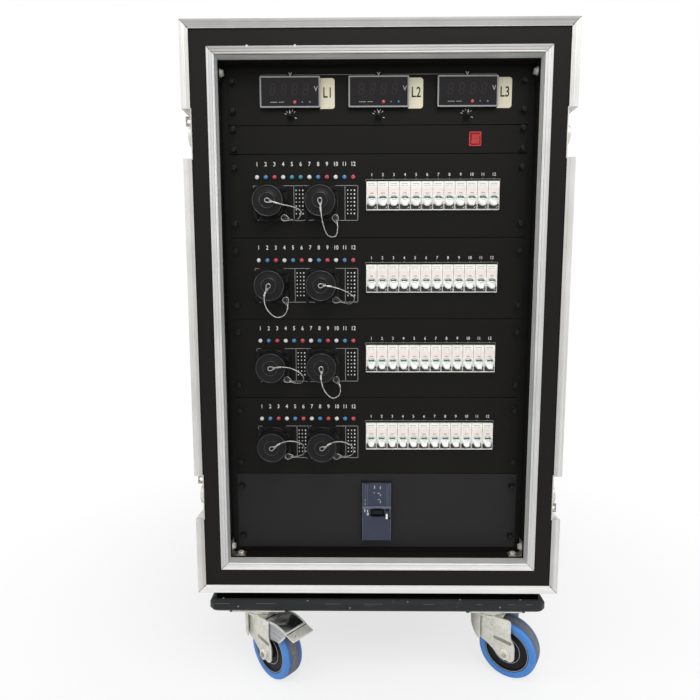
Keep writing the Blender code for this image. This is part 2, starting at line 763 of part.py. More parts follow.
def make_switch_panel(name, units, middle, finishes):
    """The plate with the rocker switch that lights the panel."""
    bezel = box(
        (
            ROCKER_OFFSET - ROCKER_BEZEL_WIDTH / 2,
            PANEL_FRONT - ROCKER_BEZEL_PROUD,
            middle - ROCKER_BEZEL_HEIGHT / 2,
        ),
        (
            ROCKER_OFFSET + ROCKER_BEZEL_WIDTH / 2,
            PANEL_FRONT + ROCKER_WELL_DEPTH + 2 * CUT_MARGIN,
            middle + ROCKER_BEZEL_HEIGHT / 2,
        ),
    )
    well_half_height = ROCKER_HALF_HEIGHT + 2 * RUNNING_GAP
    well_half_width = ROCKER_WIDTH / 2 + RUNNING_GAP
    well = box(
        (
            ROCKER_OFFSET - well_half_width,
            PANEL_FRONT - ROCKER_BEZEL_PROUD - CUT_MARGIN,
            middle - well_half_height,
        ),
        (ROCKER_OFFSET + well_half_width, PANEL_FRONT + ROCKER_WELL_DEPTH, middle + well_half_height),
    )
    node(
        name,
        finishes["panel"],
        [panel_plate(units, middle)],
        ("UNION", [bezel]),
        ("DIFFERENCE", [well]),
        ("DIFFERENCE", screw_holes(units, middle)),
    )
    make_rocker("power_rocker", (ROCKER_OFFSET, PANEL_FRONT + CUT_MARGIN, middle), finishes["rocker"])


def make_rocker(name, at, finish):
    """The rocker: a shallow V at the front and a narrower back, tipped top inwards about X."""
    h = ROCKER_HALF_HEIGHT
    outline = [
        (-0.70 * h, h),
        (-0.52 * h, 0),
        (-0.70 * h, -h),
        (0.38 * h, -h),
        (0.9 * h, -0.55 * h),
        (0.9 * h, 0.55 * h),
        (0.38 * h, h),
    ]
    tipped = turned_outline(outline, -ROCKER_TILT)
    node(name, finish, [prism("X", tipped, -ROCKER_WIDTH / 2, ROCKER_WIDTH / 2)], at=at)


def flange_outline(x, z):
    """The square flange of a socket with its corners cut."""
    half = FLANGE_SIZE / 2
    cut = half - FLANGE_CORNER
    corners = [
        (half, -cut),
        (half, cut),
        (cut, half),
        (-cut, half),
        (-half, cut),
        (-half, -cut),
        (-cut, -half),
        (cut, -half),
    ]
    return [(x + u, z + v) for u, v in corners]


def make_outlet_panel(name, units, middle, finishes):
    """The plate with its lamps, its two sockets and the cut-out for the breakers."""
    row_width = BREAKER_COUNT * BREAKER_WIDTH
    row_centre = BREAKER_FIRST_EDGE + row_width / 2
    clearance = 2 * BREAKER_CUTOUT_CLEARANCE
    window = through_panel(row_centre, middle, row_width + clearance, BREAKER_NOSE_HEIGHT + clearance)
    lamps = []
    for i in range(LAMP_COUNT):
        place = (LAMP_FIRST + LAMP_PITCH * i, 0, middle + LAMP_RAISE)
        start = PANEL_FRONT - LAMP_PROUD
        end = PANEL_FRONT + OVERLAP
        lamps.append(cylinder("Y", LAMP_RADIUS, start, end, LAMP_SIDES, place))
    flanges = []
    barrels = []
    screws = []
    bodies = []
    socket_z = middle - SOCKET_DROP
    for side, x in SOCKET_CENTRES.items():
        flanges.append(prism("Y", flange_outline(x, socket_z), FLANGE_FRONT, PANEL_FRONT + OVERLAP))
        barrel_front = FLANGE_FRONT - BARREL_LENGTH
        barrel_end = FLANGE_FRONT + OVERLAP
        centre = (x, 0, socket_z)
        barrels.append(cylinder("Y", BARREL_RADIUS, barrel_front, barrel_end, BORE_SIDES, centre))
        body_end = PANEL_BACK + SOCKET_BODY_DEPTH
        body_start = PANEL_BACK - OVERLAP
        bodies.append(cylinder("Y", SOCKET_BODY_RADIUS, body_start, body_end, BORE_SIDES, centre))
        anchor = (x + FLANGE_SCREW_OFFSET, 0, socket_z - FLANGE_SCREW_OFFSET)
        screw_front = FLANGE_FRONT - FLANGE_SCREW_HEIGHT
        screws.append(cylinder("Y", FLANGE_SCREW_RADIUS, screw_front, barrel_end, SMALL_SIDES, anchor))
    node(
        name,
        finishes["panel"],
        [panel_plate(units, middle)],
        ("DIFFERENCE", [window]),
        ("DIFFERENCE", screw_holes(units, middle)),
        ("UNION", lamps + flanges),
        ("UNION", barrels + screws),
        ("UNION", bodies),
    )
    number = name.rsplit("_", 1)[1]
    for side, x in SOCKET_CENTRES.items():
        centre = (x, PANEL_FRONT, socket_z)
        make_socket_cap(f"outlet_{number}_{side}_cap", centre, finishes["cap"])
        make_lanyard(f"outlet_{number}_{side}", centre, finishes["wire"])
    make_breaker_row(f"outlet_{number}_breakers", row_centre, middle, finishes["breaker"])
    make_lever_row(f"outlet_{number}_levers", row_centre, middle, finishes["lever"])


def make_socket_cap(name, at, finish):
    """A screw cap with a raised boss and the post that holds its lanyard, turning about Y."""
    back = -FLANGE_THICKNESS - RUNNING_GAP
    front = back - CAP_HEIGHT
    profile = [
        (CAP_RADIUS, back),
        (CAP_RADIUS, front + CAP_CHAMFER),
        (CAP_RADIUS - CAP_CHAMFER, front),
        (BOSS_RADIUS, front),
        (BOSS_RADIUS, front - BOSS_HEIGHT),
    ]
    bore_radius = BARREL_RADIUS + CAP_BORE_CLEARANCE
    bore_end = -FLANGE_THICKNESS - BARREL_LENGTH - 2 * RUNNING_GAP
    bore = cylinder("Y", bore_radius, back + CUT_MARGIN, bore_end, BORE_SIDES)
    post_end = front - BOSS_HEIGHT
    post = cylinder("Y", POST_RADIUS, post_end + OVERLAP, post_end - POST_HEIGHT, SMALL_SIDES)
    node(
        name,
        finish,
        [lathe("Y", profile, CAP_SIDES)],
        ("DIFFERENCE", [bore]),
        ("UNION", [post]),
        at=at,
    )


def smooth_route(route, step):
    """Points every step along a Catmull-Rom curve through the route's own points."""
    guides = [Vector(point) for point in route]
    guides = [2 * guides[0] - guides[1], *guides, 2 * guides[-1] - guides[-2]]
    points = [guides[1]]
    for before, start, end, after in zip(guides, guides[1:], guides[2:], guides[3:]):
        pieces = max(1, round((end - start).length / step))
        for i in range(1, pieces + 1):
            t = i / pieces
            points.append(
                0.5
                * (
                    2 * start
                    + (end - before) * t
                    + (2 * before - 5 * start + 4 * end - after) * t**2
                    + (3 * start - before - 3 * end + after) * t**3
                )
            )
    return points


def make_lanyard(name, cap_centre, finish):
    """The steel wire between a cap's post and the lower right screw of its flange."""
    route = [
        (cap_centre[0] + x * MM, cap_centre[1] - y * MM, cap_centre[2] + z * MM)
        for x, y, z in LANYARD_ROUTES[name]
    ]
    anchor = Vector(
        (cap_centre[0] + FLANGE_SCREW_OFFSET, FLANGE_FRONT, cap_centre[2] - FLANGE_SCREW_OFFSET)
    )
    last = Vector(route[-1])
    lift = Vector((0, -FLANGE_SCREW_HEIGHT / 2, 0))
    away = last - anchor
    away.y = 0
    reach = FLANGE_SCREW_RADIUS + RUNNING_GAP
    route.append(anchor + lift + away.normalized() * reach)
    curve = bpy.data.curves.new(f"{name}_lanyard", "CURVE")
    curve.dimensions = "3D"
    curve.bevel_depth = WIRE_DIAMETER / 2
    curve.bevel_resolution = 2
    curve.use_fill_caps = True
    curve.materials.append(finish)
    points = smooth_route(route, WIRE_STEP)
    spline = curve.splines.new("POLY")
    spline.points.add(len(points) - 1)
    for target, point in zip(spline.points, points):
        target.co = (*point, 1.0)
    length = sum((b - a).length for a, b in zip(points, points[1:]))
    print(f"{name}_lanyard is {length / MM:.1f} mm long in {len(points)} points")
    bpy.context.scene.collection.objects.link(bpy.data.objects.new(f"{name}_lanyard", curve))


def breaker_centres(row_centre):
    """X of each breaker in a row."""
    first = row_centre - BREAKER_WIDTH * (BREAKER_COUNT - 1) / 2
    return [first + BREAKER_WIDTH * i for i in range(BREAKER_COUNT)]


def make_breaker_row(name, row_centre, middle, finish):
    """Twelve single breakers side by side: noses through the panel, bodies behind it."""
    nose_front = PANEL_FRONT - BREAKER_PROUD
    shoulder = nose_front + BREAKER_NOSE_DEPTH
    back = nose_front + BREAKER_DEPTH
    nose = BREAKER_NOSE_HEIGHT / 2
    body = BREAKER_BODY_HEIGHT / 2
    outline = [
        (nose_front, middle - nose),
        (nose_front, middle + nose),
        (shoulder, middle + nose),
        (shoulder, middle + body),
        (back, middle + body),
        (back, middle - body),
        (shoulder, middle - body),
        (shoulder, middle - nose),
    ]
    half_row = BREAKER_COUNT * BREAKER_WIDTH / 2
    row = prism("X", outline, row_centre - half_row, row_centre + half_row)
    pivot_z = middle - LEVER_PIVOT_DROP
    pivot_y = nose_front + LEVER_PIVOT_DEPTH
    centres = breaker_centres(row_centre)
    half_window = LEVER_WIDTH / 2 + RUNNING_GAP
    windows = [
        box(
            (x - half_window, nose_front - CUT_MARGIN, pivot_z - LEVER_WINDOW_BOTTOM),
            (x + half_window, nose_front + LEVER_WINDOW_DEPTH, pivot_z + LEVER_WINDOW_TOP),
        )
        for x in centres
    ]
    channel_radius = LEVER_ROD_SIZE * math.sqrt(0.5) + RUNNING_GAP
    channel = cylinder(
        "X",
        channel_radius,
        centres[0],
        centres[-1],
        SMALL_SIDES,
        (0, pivot_y, pivot_z),
    )
    node(name, finish, [row], ("DIFFERENCE", windows), ("DIFFERENCE", [channel]))


def lever_outline():
    """A breaker's lever from the side, pointing straight out along -Y, about its pivot."""
    tip = LEVER_TIP_THICKNESS / 2
    upper = arc((0, 0), LEVER_DRUM_RADIUS, 60, 150, 2)
    outline = [*upper, (-LEVER_REACH, tip), (-LEVER_REACH, -tip)]
    outline += [(u, -v) for u, v in reversed(upper)]
    return outline


def make_lever_row(name, row_centre, middle, finish):
    """The levers of a row of breakers, all off, on the rod that they share."""
    outline = turned_outline(lever_outline(), LEVER_TILT)
    centres = [x - row_centre for x in breaker_centres(row_centre)]
    half_width = LEVER_WIDTH / 2
    levers = [prism("X", outline, x - half_width, x + half_width) for x in centres]
    rod_half = LEVER_ROD_SIZE / 2
    square = [(-rod_half, -rod_half), (rod_half, -rod_half), (rod_half, rod_half), (-rod_half, rod_half)]
    links = [
        prism("X", square, x + half_width - OVERLAP, x + BREAKER_WIDTH - half_width + OVERLAP)
        for x in centres[:-1]
    ]
    pivot_y = PANEL_FRONT - BREAKER_PROUD + LEVER_PIVOT_DEPTH
    at = (row_centre, pivot_y, middle - LEVER_PIVOT_DROP)
    node(name, finish, levers, ("UNION", links), at=at)


def make_main_panel(name, units, middle, finishes):
    """The plate with the main moulded-case breaker."""
    clearance = 2 * BREAKER_CUTOUT_CLEARANCE
    cutout = through_panel(0, middle, MAIN_WIDTH + clearance, MAIN_HEIGHT + clearance)
    node(
        name,
        finishes["panel"],
        [panel_plate(units, middle)],
        ("DIFFERENCE", [cutout]),
        ("DIFFERENCE", screw_holes(units, middle)),
    )
    front = PANEL_FRONT - MAIN_PROUD
    slot_z = middle - MAIN_SLOT_DROP
    pivot = (MAIN_SLOT_OFFSET, front + MAIN_PIVOT_DEPTH, slot_z)
    make_main_breaker(front, middle, pivot, finishes["main"])
    make_main_lever("main_breaker_lever", pivot, finishes["knob"])
    make_trip_button("trip_button", (TRIP_OFFSET, front, middle - TRIP_DROP), finishes["trip"])


def make_main_breaker(front, middle, pivot, finish):
    """The main breaker: a stepped nose through the panel on a wide body behind it."""
    half_width = MAIN_WIDTH / 2
    half_height = MAIN_HEIGHT / 2
    body_front = PANEL_BACK + MAIN_BODY_SETBACK
    nose = box(
        (-half_width, front, middle - half_height),
        (half_width, body_front + OVERLAP, middle + half_height),
    )
    step = box(
        (-half_width - CUT_MARGIN, front - CUT_MARGIN, middle + MAIN_STEP_HEIGHT),
        (half_width + CUT_MARGIN, front + MAIN_STEP_DEPTH, middle + half_height + CUT_MARGIN),
    )
    body = box(
        (-MAIN_BODY_WIDTH / 2, body_front, middle - MAIN_BODY_HEIGHT / 2),
        (MAIN_BODY_WIDTH / 2, body_front + MAIN_BODY_DEPTH, middle + MAIN_BODY_HEIGHT / 2),
    )
    slot = box(
        (pivot[0] - MAIN_SLOT_WIDTH / 2, front - CUT_MARGIN, pivot[2] - MAIN_SLOT_HEIGHT / 2),
        (pivot[0] + MAIN_SLOT_WIDTH / 2, front + MAIN_SLOT_DEPTH, pivot[2] + MAIN_SLOT_HEIGHT / 2),
    )
    bore_reach = MAIN_SLOT_WIDTH / 2 + MAIN_PIN_OVERHANG + RUNNING_GAP
    bore = cylinder("X", MAIN_PIN_RADIUS + RUNNING_GAP, -bore_reach, bore_reach, SMALL_SIDES, pivot)
    pocket = box(
        (
            TRIP_OFFSET - TRIP_WIDTH / 2 - RUNNING_GAP,
            front - CUT_MARGIN,
            middle - TRIP_DROP - TRIP_HEIGHT / 2 - RUNNING_GAP,
        ),
        (
            TRIP_OFFSET + TRIP_WIDTH / 2 + RUNNING_GAP,
            front + TRIP_DEPTH + TRIP_TRAVEL + RUNNING_GAP,
            middle - TRIP_DROP + TRIP_HEIGHT / 2 + RUNNING_GAP,
        ),
    )
    node(
        "main_breaker",
        finish,
        [nose],
        ("UNION", [body]),
        ("DIFFERENCE", [step]),
        ("DIFFERENCE", [slot, pocket]),
        ("DIFFERENCE", [bore]),
    )


def make_main_lever(name, at, finish):
    """The main lever on its cross pin, up at rest, turning about X."""
    reach = MAIN_PIVOT_DEPTH + MAIN_LEVER_PROUD
    half = MAIN_LEVER_THICKNESS / 2
    outline = [(half, half), (-reach, half), (-reach, -half), (half, -half)]
    tipped = turned_outline(outline, -MAIN_LEVER_TILT)
    handle = prism("X", tipped, -MAIN_LEVER_WIDTH / 2, MAIN_LEVER_WIDTH / 2)
    pin_reach = MAIN_SLOT_WIDTH / 2 + MAIN_PIN_OVERHANG
    pin = cylinder("X", MAIN_PIN_RADIUS, -pin_reach, pin_reach, SMALL_SIDES)
    node(name, finish, [handle], ("UNION", [pin]), at=at)


def make_trip_button(name, at, finish):
    """The push-to-trip button, sliding along Y."""
    button = box(
        (-TRIP_WIDTH / 2, -TRIP_PROUD, -TRIP_HEIGHT / 2),
        (TRIP_WIDTH / 2, TRIP_DEPTH, TRIP_HEIGHT / 2),
    )
    node(name, finish, [button], at=at)


def make_catch(name, side, upper, turn, finish):
    """A turning catch: a disc on a pin in the case wall, a tongue and a holed ear, about X."""
    near = side * RUNNING_GAP
    far = side * (RUNNING_GAP + CATCH_DISC_THICKNESS)
    profile = [
        (CATCH_PIN_RADIUS, side * -CATCH_PIN_LENGTH),
        (CATCH_PIN_RADIUS, near),
        (CATCH_DISC_RADIUS, near),
        (CATCH_DISC_RADIUS, far),
    ]
    angle = math.radians(turn)

    def blade(start, end, inner, outer):
        half = CATCH_EAR_THICKNESS / 2
        outline = [(-half, start), (half, start), (half, end), (-half, end)]
        return prism("X", turned_outline(outline, -angle), inner, outer)

    tongue = blade(CATCH_DISC_RADIUS / 2, CATCH_REACH, 2 * near, far - near)
    ear_inner = side * (NOTCH_DEPTH - CATCH_EAR_WIDTH)
    ear_end = CATCH_EAR_START + CATCH_EAR_LENGTH
    ear = blade(CATCH_EAR_START, ear_end, ear_inner, side * NOTCH_DEPTH)
    radial = (CATCH_EAR_START + ear_end) / 2
    hole_x = side * (NOTCH_DEPTH - CATCH_EAR_WIDTH / 2)
    across = Vector((0, math.cos(angle), -math.sin(angle)))
    middle = Vector((hole_x, radial * math.sin(angle), radial * math.cos(angle)))
    hole = tilted_bar(middle, across, CATCH_HOLE_RADIUS, CATCH_EAR_THICKNESS + 2 * CUT_MARGIN)
    node(
        name,
        finish,
        [lathe("X", profile, BORE_SIDES)],
        ("UNION", [tongue]),
        ("UNION", [ear]),
        ("DIFFERENCE", [hole]),
        at=(side * NOTCH_FLOOR, CATCH_Y, catch_height(upper)),
    )


def tilted_bar(middle, direction, radius, length):
    """A round bar by its middle and its direction, square to X."""
    first = Vector((1, 0, 0))
    second = direction.cross(first)
    rings = []
    for end in (-length / 2, length / 2):
        ring = []
        for i in range(SMALL_SIDES):
            angle = 2 * math.pi * (i + 0.5) / SMALL_SIDES
            offset = radius * (math.cos(angle) * first + math.sin(angle) * second)
            ring.append(tuple(middle + end * direction + offset))
        rings.append(ring)
    return loft(rings)


def board_ring(z, inset):
    """The outline of the wheel board with its corners cut."""
    x = BOARD_WIDTH / 2 - inset
    y = CASE_DEPTH / 2 - inset
    cut = BOARD_CORNER
    corners = [
        (x, -y + cut),
        (x, y - cut),
        (x - cut, y),
        (-x + cut, y),
        (-x, y - cut),
        (-x, -y + cut),
        (-x + cut, -y),
        (x - cut, -y),
    ]
    return [(u, v, z) for u, v in corners]


def caster_place(side, end):
    """The swivel axis of a caster on the floor."""
    return (side * (CASE_WIDTH / 2 - CASTER_INSET_X), end * (CASE_DEPTH / 2 - CASTER_INSET_Y), 0)


def make_wheel_board(finish):
    """The wheel board with the top plate, race, king pin and nut of each caster."""
    top = CASE_BASE - TOUCH_GAP
    board = loft(
        [
            board_ring(CASTER_HEIGHT, BOARD_LOWER_BEVEL),
            board_ring(CASTER_HEIGHT + BOARD_LOWER_BEVEL, 0),
            board_ring(CASTER_HEIGHT + BOARD_STRAIGHT_TOP, 0),
            board_ring(top, BOARD_UPPER_BEVEL),
        ]
    )
    plates = []
    pins = []
    plate_bottom = CASTER_HEIGHT - CASTER_PLATE_THICKNESS
    nut_top = CUP_BOTTOM - RUNNING_GAP
    profile = [
        (RACE_RADIUS, plate_bottom + OVERLAP),
        (RACE_RADIUS, plate_bottom - RACE_HEIGHT),
        (KINGPIN_RADIUS, plate_bottom - RACE_HEIGHT),
        (KINGPIN_RADIUS, nut_top),
        (KINGPIN_NUT_RADIUS, nut_top),
        (KINGPIN_NUT_RADIUS, nut_top - KINGPIN_NUT_HEIGHT),
    ]
    for side, end, _, _ in CASTERS.values():
        x, y, _ = caster_place(side, end)
        middle = (x, y, plate_bottom + (CASTER_PLATE_THICKNESS + OVERLAP) / 2)
        size = (CASTER_PLATE_LENGTH, CASTER_PLATE_WIDTH, CASTER_PLATE_THICKNESS + OVERLAP)
        plates.append(centred_box(middle, size))
        pins.append(lathe("Z", profile, PIN_SIDES, (x, y, 0)))
    node("wheel_board", finish, [board], ("UNION", plates), ("UNION", pins))


def fork_outline():
    """A fork's side plate, from its shoulder down to the toe below the axle."""
    shoulder = CUP_TOP - CROWN_THICKNESS
    toe_x = TRAIL + FORK_TOE_FORWARD
    toe_z = WHEEL_RADIUS - FORK_TOE_DROP
    toe = arc((toe_x, toe_z), FORK_TOE_RADIUS, 215, 365, 4)
    return [
        (-FORK_LENGTH_BACK, shoulder),
        (-FORK_LENGTH_BACK, CUP_BOTTOM),
        (-FORK_LENGTH_BACK / 4, CUP_BOTTOM - CUP_HEIGHT),
        (TRAIL / 2, WHEEL_RADIUS + FORK_TOE_RADIUS),
        *toe,
        (FORK_LENGTH_FRONT, WHEEL_RADIUS + 1.4 * FORK_TOE_RADIUS),
        (FORK_LENGTH_FRONT, CUP_BOTTOM),
        (CROWN_LENGTH_FRONT, shoulder),
    ]


def make_fork(name, carrier, braked, finish):
    """A swivel fork: cup, crown, two side plates and the axle bolt, about Z."""
    cup = cylinder("Z", CUP_RADIUS, CUP_BOTTOM, CUP_TOP, BORE_SIDES)
    crown = box(
        (OVERLAP - FORK_LENGTH_BACK, -FORK_OUTER + OVERLAP, CUP_BOTTOM),
        (CROWN_LENGTH_FRONT, FORK_OUTER - OVERLAP, CUP_BOTTOM + CROWN_THICKNESS),
    )
    plates = []
    heads = []
    bars = []
    axle_centre = (TRAIL, 0, WHEEL_RADIUS)
    pivot = (PEDAL_PIVOT_FORWARD, 0, PEDAL_PIVOT_HEIGHT)
    for side in (-1, 1):
        plates.append(prism("Y", fork_outline(), side * FORK_INNER, side * FORK_OUTER))
        start = side * (FORK_OUTER - OVERLAP)
        end = side * (FORK_OUTER + AXLE_HEAD_HEIGHT)
        heads.append(cylinder("Y", AXLE_HEAD_RADIUS, start, end, LAMP_SIDES, axle_centre))
        if braked:
            start = side * (WHEEL_WIDTH / 2 + PEDAL_CHEEK_CLEARANCE)
            end = side * (FORK_INNER + OVERLAP)
            bars.append(cylinder("Y", PEDAL_PIN_RADIUS, start, end, SMALL_SIDES, pivot))
    reach = FORK_INNER + OVERLAP
    bars.append(cylinder("Y", AXLE_RADIUS, -reach, reach, SMALL_SIDES, axle_centre))
    bore = cylinder(
        "Z",
        KINGPIN_RADIUS + RUNNING_GAP,
        CUP_BOTTOM - CUT_MARGIN,
        CUP_TOP + CUT_MARGIN,
        BORE_SIDES,
    )
    node(
        name,
        finish,
        [cup],
        ("UNION", [crown]),
        ("UNION", plates),
        ("UNION", heads + bars),
        ("DIFFERENCE", [bore]),
        carrier=carrier,
    )


def make_wheel(name, carrier, finish):
    """A wheel: tyre, sunk hub faces and bore, turning about its axle along Y."""
    flat = 1 / math.cos(math.pi / WHEEL_SIDES)
    tread = WHEEL_RADIUS * flat
    half = WHEEL_WIDTH / 2
    half_profile = [
        (AXLE_RADIUS + RUNNING_GAP, half + FORK_CLEARANCE - RUNNING_GAP),
        (HUB_RADIUS, half + FORK_CLEARANCE - RUNNING_GAP),
        (HUB_RADIUS + TYRE_SHOULDER, half - HUB_RECESS),
        (WHEEL_RADIUS - TYRE_HEIGHT, half),
        (tread - TYRE_SHOULDER, half),
        (tread, TREAD_WIDTH / 2),
    ]
    profile = half_profile + [(radius, -along) for radius, along in reversed(half_profile)]
    node(
        name,
        finish,
        [turned_ring("Y", profile, WHEEL_SIDES)],
        at=(TRAIL, 0, WHEEL_RADIUS),
        carrier=carrier,
    )


def pedal_arc(outwards):
    """Points over the tyre from the pedal's back to its nose, seen from the pedal's pivot."""
    points = []
    for i in range(7):
        t = i / 6
        angle = math.radians(PEDAL_FIRST_ANGLE + (PEDAL_LAST_ANGLE - PEDAL_FIRST_ANGLE) * t)
        radius = WHEEL_RADIUS + PEDAL_TYRE_GAP + PEDAL_RISE * t**1.3 + outwards
        x = TRAIL + radius * math.cos(angle) - PEDAL_PIVOT_FORWARD
        z = WHEEL_RADIUS + radius * math.sin(angle) - PEDAL_PIVOT_HEIGHT
        points.append((x, z))
    return points


def make_brake_pedal(name, carrier, finish):
    """A brake pedal: a hood over the tyre, two cheeks on pivot pins along Y and a tread lip."""
    t = PEDAL_THICKNESS
    cheek_inner = WHEEL_WIDTH / 2 + PEDAL_CHEEK_CLEARANCE
    cheek_outer = FORK_INNER - TOUCH_GAP
    hood_outline = pedal_arc(0) + list(reversed(pedal_arc(t)))
    hood = prism("Y", hood_outline, -cheek_outer, cheek_outer)
    axle_x = TRAIL - PEDAL_PIVOT_FORWARD
    axle_z = WHEEL_RADIUS - PEDAL_PIVOT_HEIGHT
    low_corners = []
    for radius, degrees in ((1.75, 45.5), (1.19, 45), (0.79, 72.5), (1, 97.5)):
        angle = math.radians(degrees)
        reach = PEDAL_CHEEK_RADIUS * radius
        low_corners.append((axle_x + reach * math.cos(angle), axle_z + reach * math.sin(angle)))
    cheek_outline = pedal_arc(t / 2) + low_corners
    nose_x, nose_z = pedal_arc(t / 2)[-1]
    lip_outline = turned_outline(
        [(-t, -t / 2), (TREAD_LIP_LENGTH, -t / 2), (TREAD_LIP_LENGTH, t / 2), (-t, t / 2)],
        -TREAD_LIP_SLOPE,
    )
    lip_outline = [(nose_x + x, nose_z + z) for x, z in lip_outline]
    lip = prism("Y", lip_outline, -TREAD_LIP_WIDTH / 2, TREAD_LIP_WIDTH / 2)
    cheeks = [prism("Y", cheek_outline, side * cheek_inner, side * cheek_outer) for side in (-1, 1)]
    bore = cylinder("Y", PEDAL_PIN_RADIUS + RUNNING_GAP, -FORK_OUTER, FORK_OUTER, SMALL_SIDES)
    node(
        name,
        finish,
        [hood],
        ("UNION", cheeks),
        ("UNION", [lip]),
        ("DIFFERENCE", [bore]),
        at=(PEDAL_PIVOT_FORWARD, 0, PEDAL_PIVOT_HEIGHT),
        carrier=carrier,
    )


def make_casters(finishes):
    """The four swivel casters; two have a brake."""
    for name, (side, end, turn, braked) in CASTERS.items():
        carrier = empty(f"{name}_swivel", caster_place(side, end), turn)
        make_fork(f"{name}_fork", carrier, braked, finishes["zinc"])
        make_wheel(f"{name}_wheel", carrier, finishes["tyre"])
        if braked:
            make_brake_pedal(f"{name}_brake_pedal", carrier, finishes["zinc"])


def make_rack(finishes):
    """Every panel of the rack with what it carries."""
    makers = {"meter": make_meter_panel, "switch": make_switch_panel, "main": make_main_panel}
    for name, units, middle in panel_rows():
        maker = makers.get(name.split("_")[0], make_outlet_panel)
        maker(name, units, middle, finishes)


def make_finishes():
    """The finish of each kind of piece."""
    return {
        "laminate": material("black_laminate", (0.012, 0.012, 0.013), 0.45),
        "aluminium": material("satin_aluminium", (0.78, 0.78, 0.80), 0.32, 1.0),
        "board": material("black_board_paint", (0.022, 0.023, 0.025), 0.4),
        "rail": material("black_rack_steel", (0.012, 0.012, 0.012), 0.4, 0.3),
        "panel": material("black_panel_powder", (0.016, 0.016, 0.017), 0.5),
        "meter": material("meter_housing", (0.35, 0.35, 0.36), 0.4),
        "knob": material("black_knob", (0.010, 0.010, 0.010), 0.35),
        "rocker": material("red_rocker", (0.62, 0.02, 0.02), 0.3),
        "cap": material("black_cap", (0.012, 0.012, 0.013), 0.45),
        "wire": material("steel_wire", (0.62, 0.62, 0.62), 0.3, 1.0),
        "breaker": material("white_breaker", (0.80, 0.80, 0.76), 0.4),
        "lever": material("white_lever", (0.86, 0.87, 0.84), 0.35),
        "main": material("navy_breaker", (0.045, 0.055, 0.10), 0.4),
        "trip": material("trip_white", (0.80, 0.80, 0.76), 0.4),
        "zinc": material("zinc_plate", (0.66, 0.66, 0.64), 0.35, 1.0),
        "tyre": material("blue_tyre", (0.08, 0.27, 0.68), 0.5),
    }


def clear_scene():
    """Removes whatever the scene holds."""
    for found in list(bpy.data.objects):
        bpy.data.objects.remove(found, do_unlink=True)


def main():
    clear_scene()
    finishes = make_finishes()
    make_case_shell(finishes["laminate"])
    make_edge_angles(finishes["aluminium"])
    make_opening_frame(finishes["aluminium"])
    make_rack_frame(finishes["rail"])
    make_rack(finishes)
    for name, (side, upper, turn) in CATCHES.items():
        make_catch(name, side, upper, turn, finishes["zinc"])
    make_wheel_board(finishes["board"])
    make_casters(finishes)


main()
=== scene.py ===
"""Looks of the power distribution box, laid round its CAD frame.

The file is laid out as a Blender add-on: its settings hold the sizes and colours that a user
would change, each operator makes one piece or one group of like pieces, and main() runs them all.
Metres, +Z up, front towards -Y, the origin on the floor under the middle of the case.
"""

import json
import math

import bmesh
import bpy
from bpy.props import FloatProperty, FloatVectorProperty, PointerProperty
from mathutils import Matrix, Vector


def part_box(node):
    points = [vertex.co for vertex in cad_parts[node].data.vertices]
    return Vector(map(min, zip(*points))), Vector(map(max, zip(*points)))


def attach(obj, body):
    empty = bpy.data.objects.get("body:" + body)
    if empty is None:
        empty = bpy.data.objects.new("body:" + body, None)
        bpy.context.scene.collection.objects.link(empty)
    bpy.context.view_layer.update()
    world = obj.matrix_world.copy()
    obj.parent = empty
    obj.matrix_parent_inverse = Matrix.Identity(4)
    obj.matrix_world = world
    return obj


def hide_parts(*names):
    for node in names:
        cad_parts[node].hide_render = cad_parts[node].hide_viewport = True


bl_info = {
    "name": "Power distribution box",
    "version": (1, 0, 0),
    "blender": (4, 5, 0),
    "location": "View3D > Sidebar > Power box",
    "description": "Builds the looks of a flight-cased power distribution box round its CAD frame",
    "category": "Object",
}

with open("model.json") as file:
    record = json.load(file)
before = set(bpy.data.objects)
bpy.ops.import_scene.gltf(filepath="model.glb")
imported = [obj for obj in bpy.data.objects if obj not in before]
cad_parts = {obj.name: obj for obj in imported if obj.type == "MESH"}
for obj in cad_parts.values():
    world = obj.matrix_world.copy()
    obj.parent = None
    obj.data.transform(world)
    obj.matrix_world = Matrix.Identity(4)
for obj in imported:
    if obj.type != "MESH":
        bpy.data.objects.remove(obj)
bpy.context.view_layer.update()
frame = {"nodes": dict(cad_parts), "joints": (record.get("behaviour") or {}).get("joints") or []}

MM = 0.001
CABINET = "cabinet"
SIDES = ("left", "right")
ROWS = (1, 2, 3, 4)
OUTLET_PANELS = [f"outlet_panel_{number}" for number in ROWS]
CORNERS = ((-1, -1), (-1, 1), (1, -1), (1, 1))
SHARP_ANGLE = math.radians(32)

# Case and board: their boxes, the catch notches, and the board's front, whose bevel starts at a
# height in millimetres and then leans back by its slope
CASE_LOW, CASE_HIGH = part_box("edge_angles")
FRAME_LOW, FRAME_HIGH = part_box("opening_frame")
NOTCH_HALF = 37 * MM
NOTCH_CLEAR = 10 * MM
BOARD_FRONT = -0.300
BEVEL_START = 144
BEVEL_SLOPE = 0.609
FLOOR_REACH = 9

# Panels: their face, the height of a rack unit, and what stands or is printed on them
PANEL_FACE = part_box("main_panel")[0].y
RACK_UNIT = 44.45 * MM
PRINT_HEIGHT = 0.12 * MM
PER_ROW = 12
CAP_DROP = 12 * MM
POST_DEPTH = 37 * MM
FLANGE_FACE = PANEL_FACE - 4.15 * MM
FLANGE_SCREW = 23 * MM

# Casters, each in its own frame with the swivel axis at the origin
WHEEL_RADIUS = 50 * MM
TRAIL = 38 * MM
FORK_INNER = 22.5 * MM
FORK_OUTER = 25.5 * MM
PEDAL_PIVOT = (40 * MM, 97.5 * MM)

# Camera as fitted to the photograph: its place, and its pitch, yaw and roll in degrees
CAMERA_PLACE = (-0.03648, -1.138739, 0.669566)
CAMERA_TURN = (6.255, -0.586, -0.113)

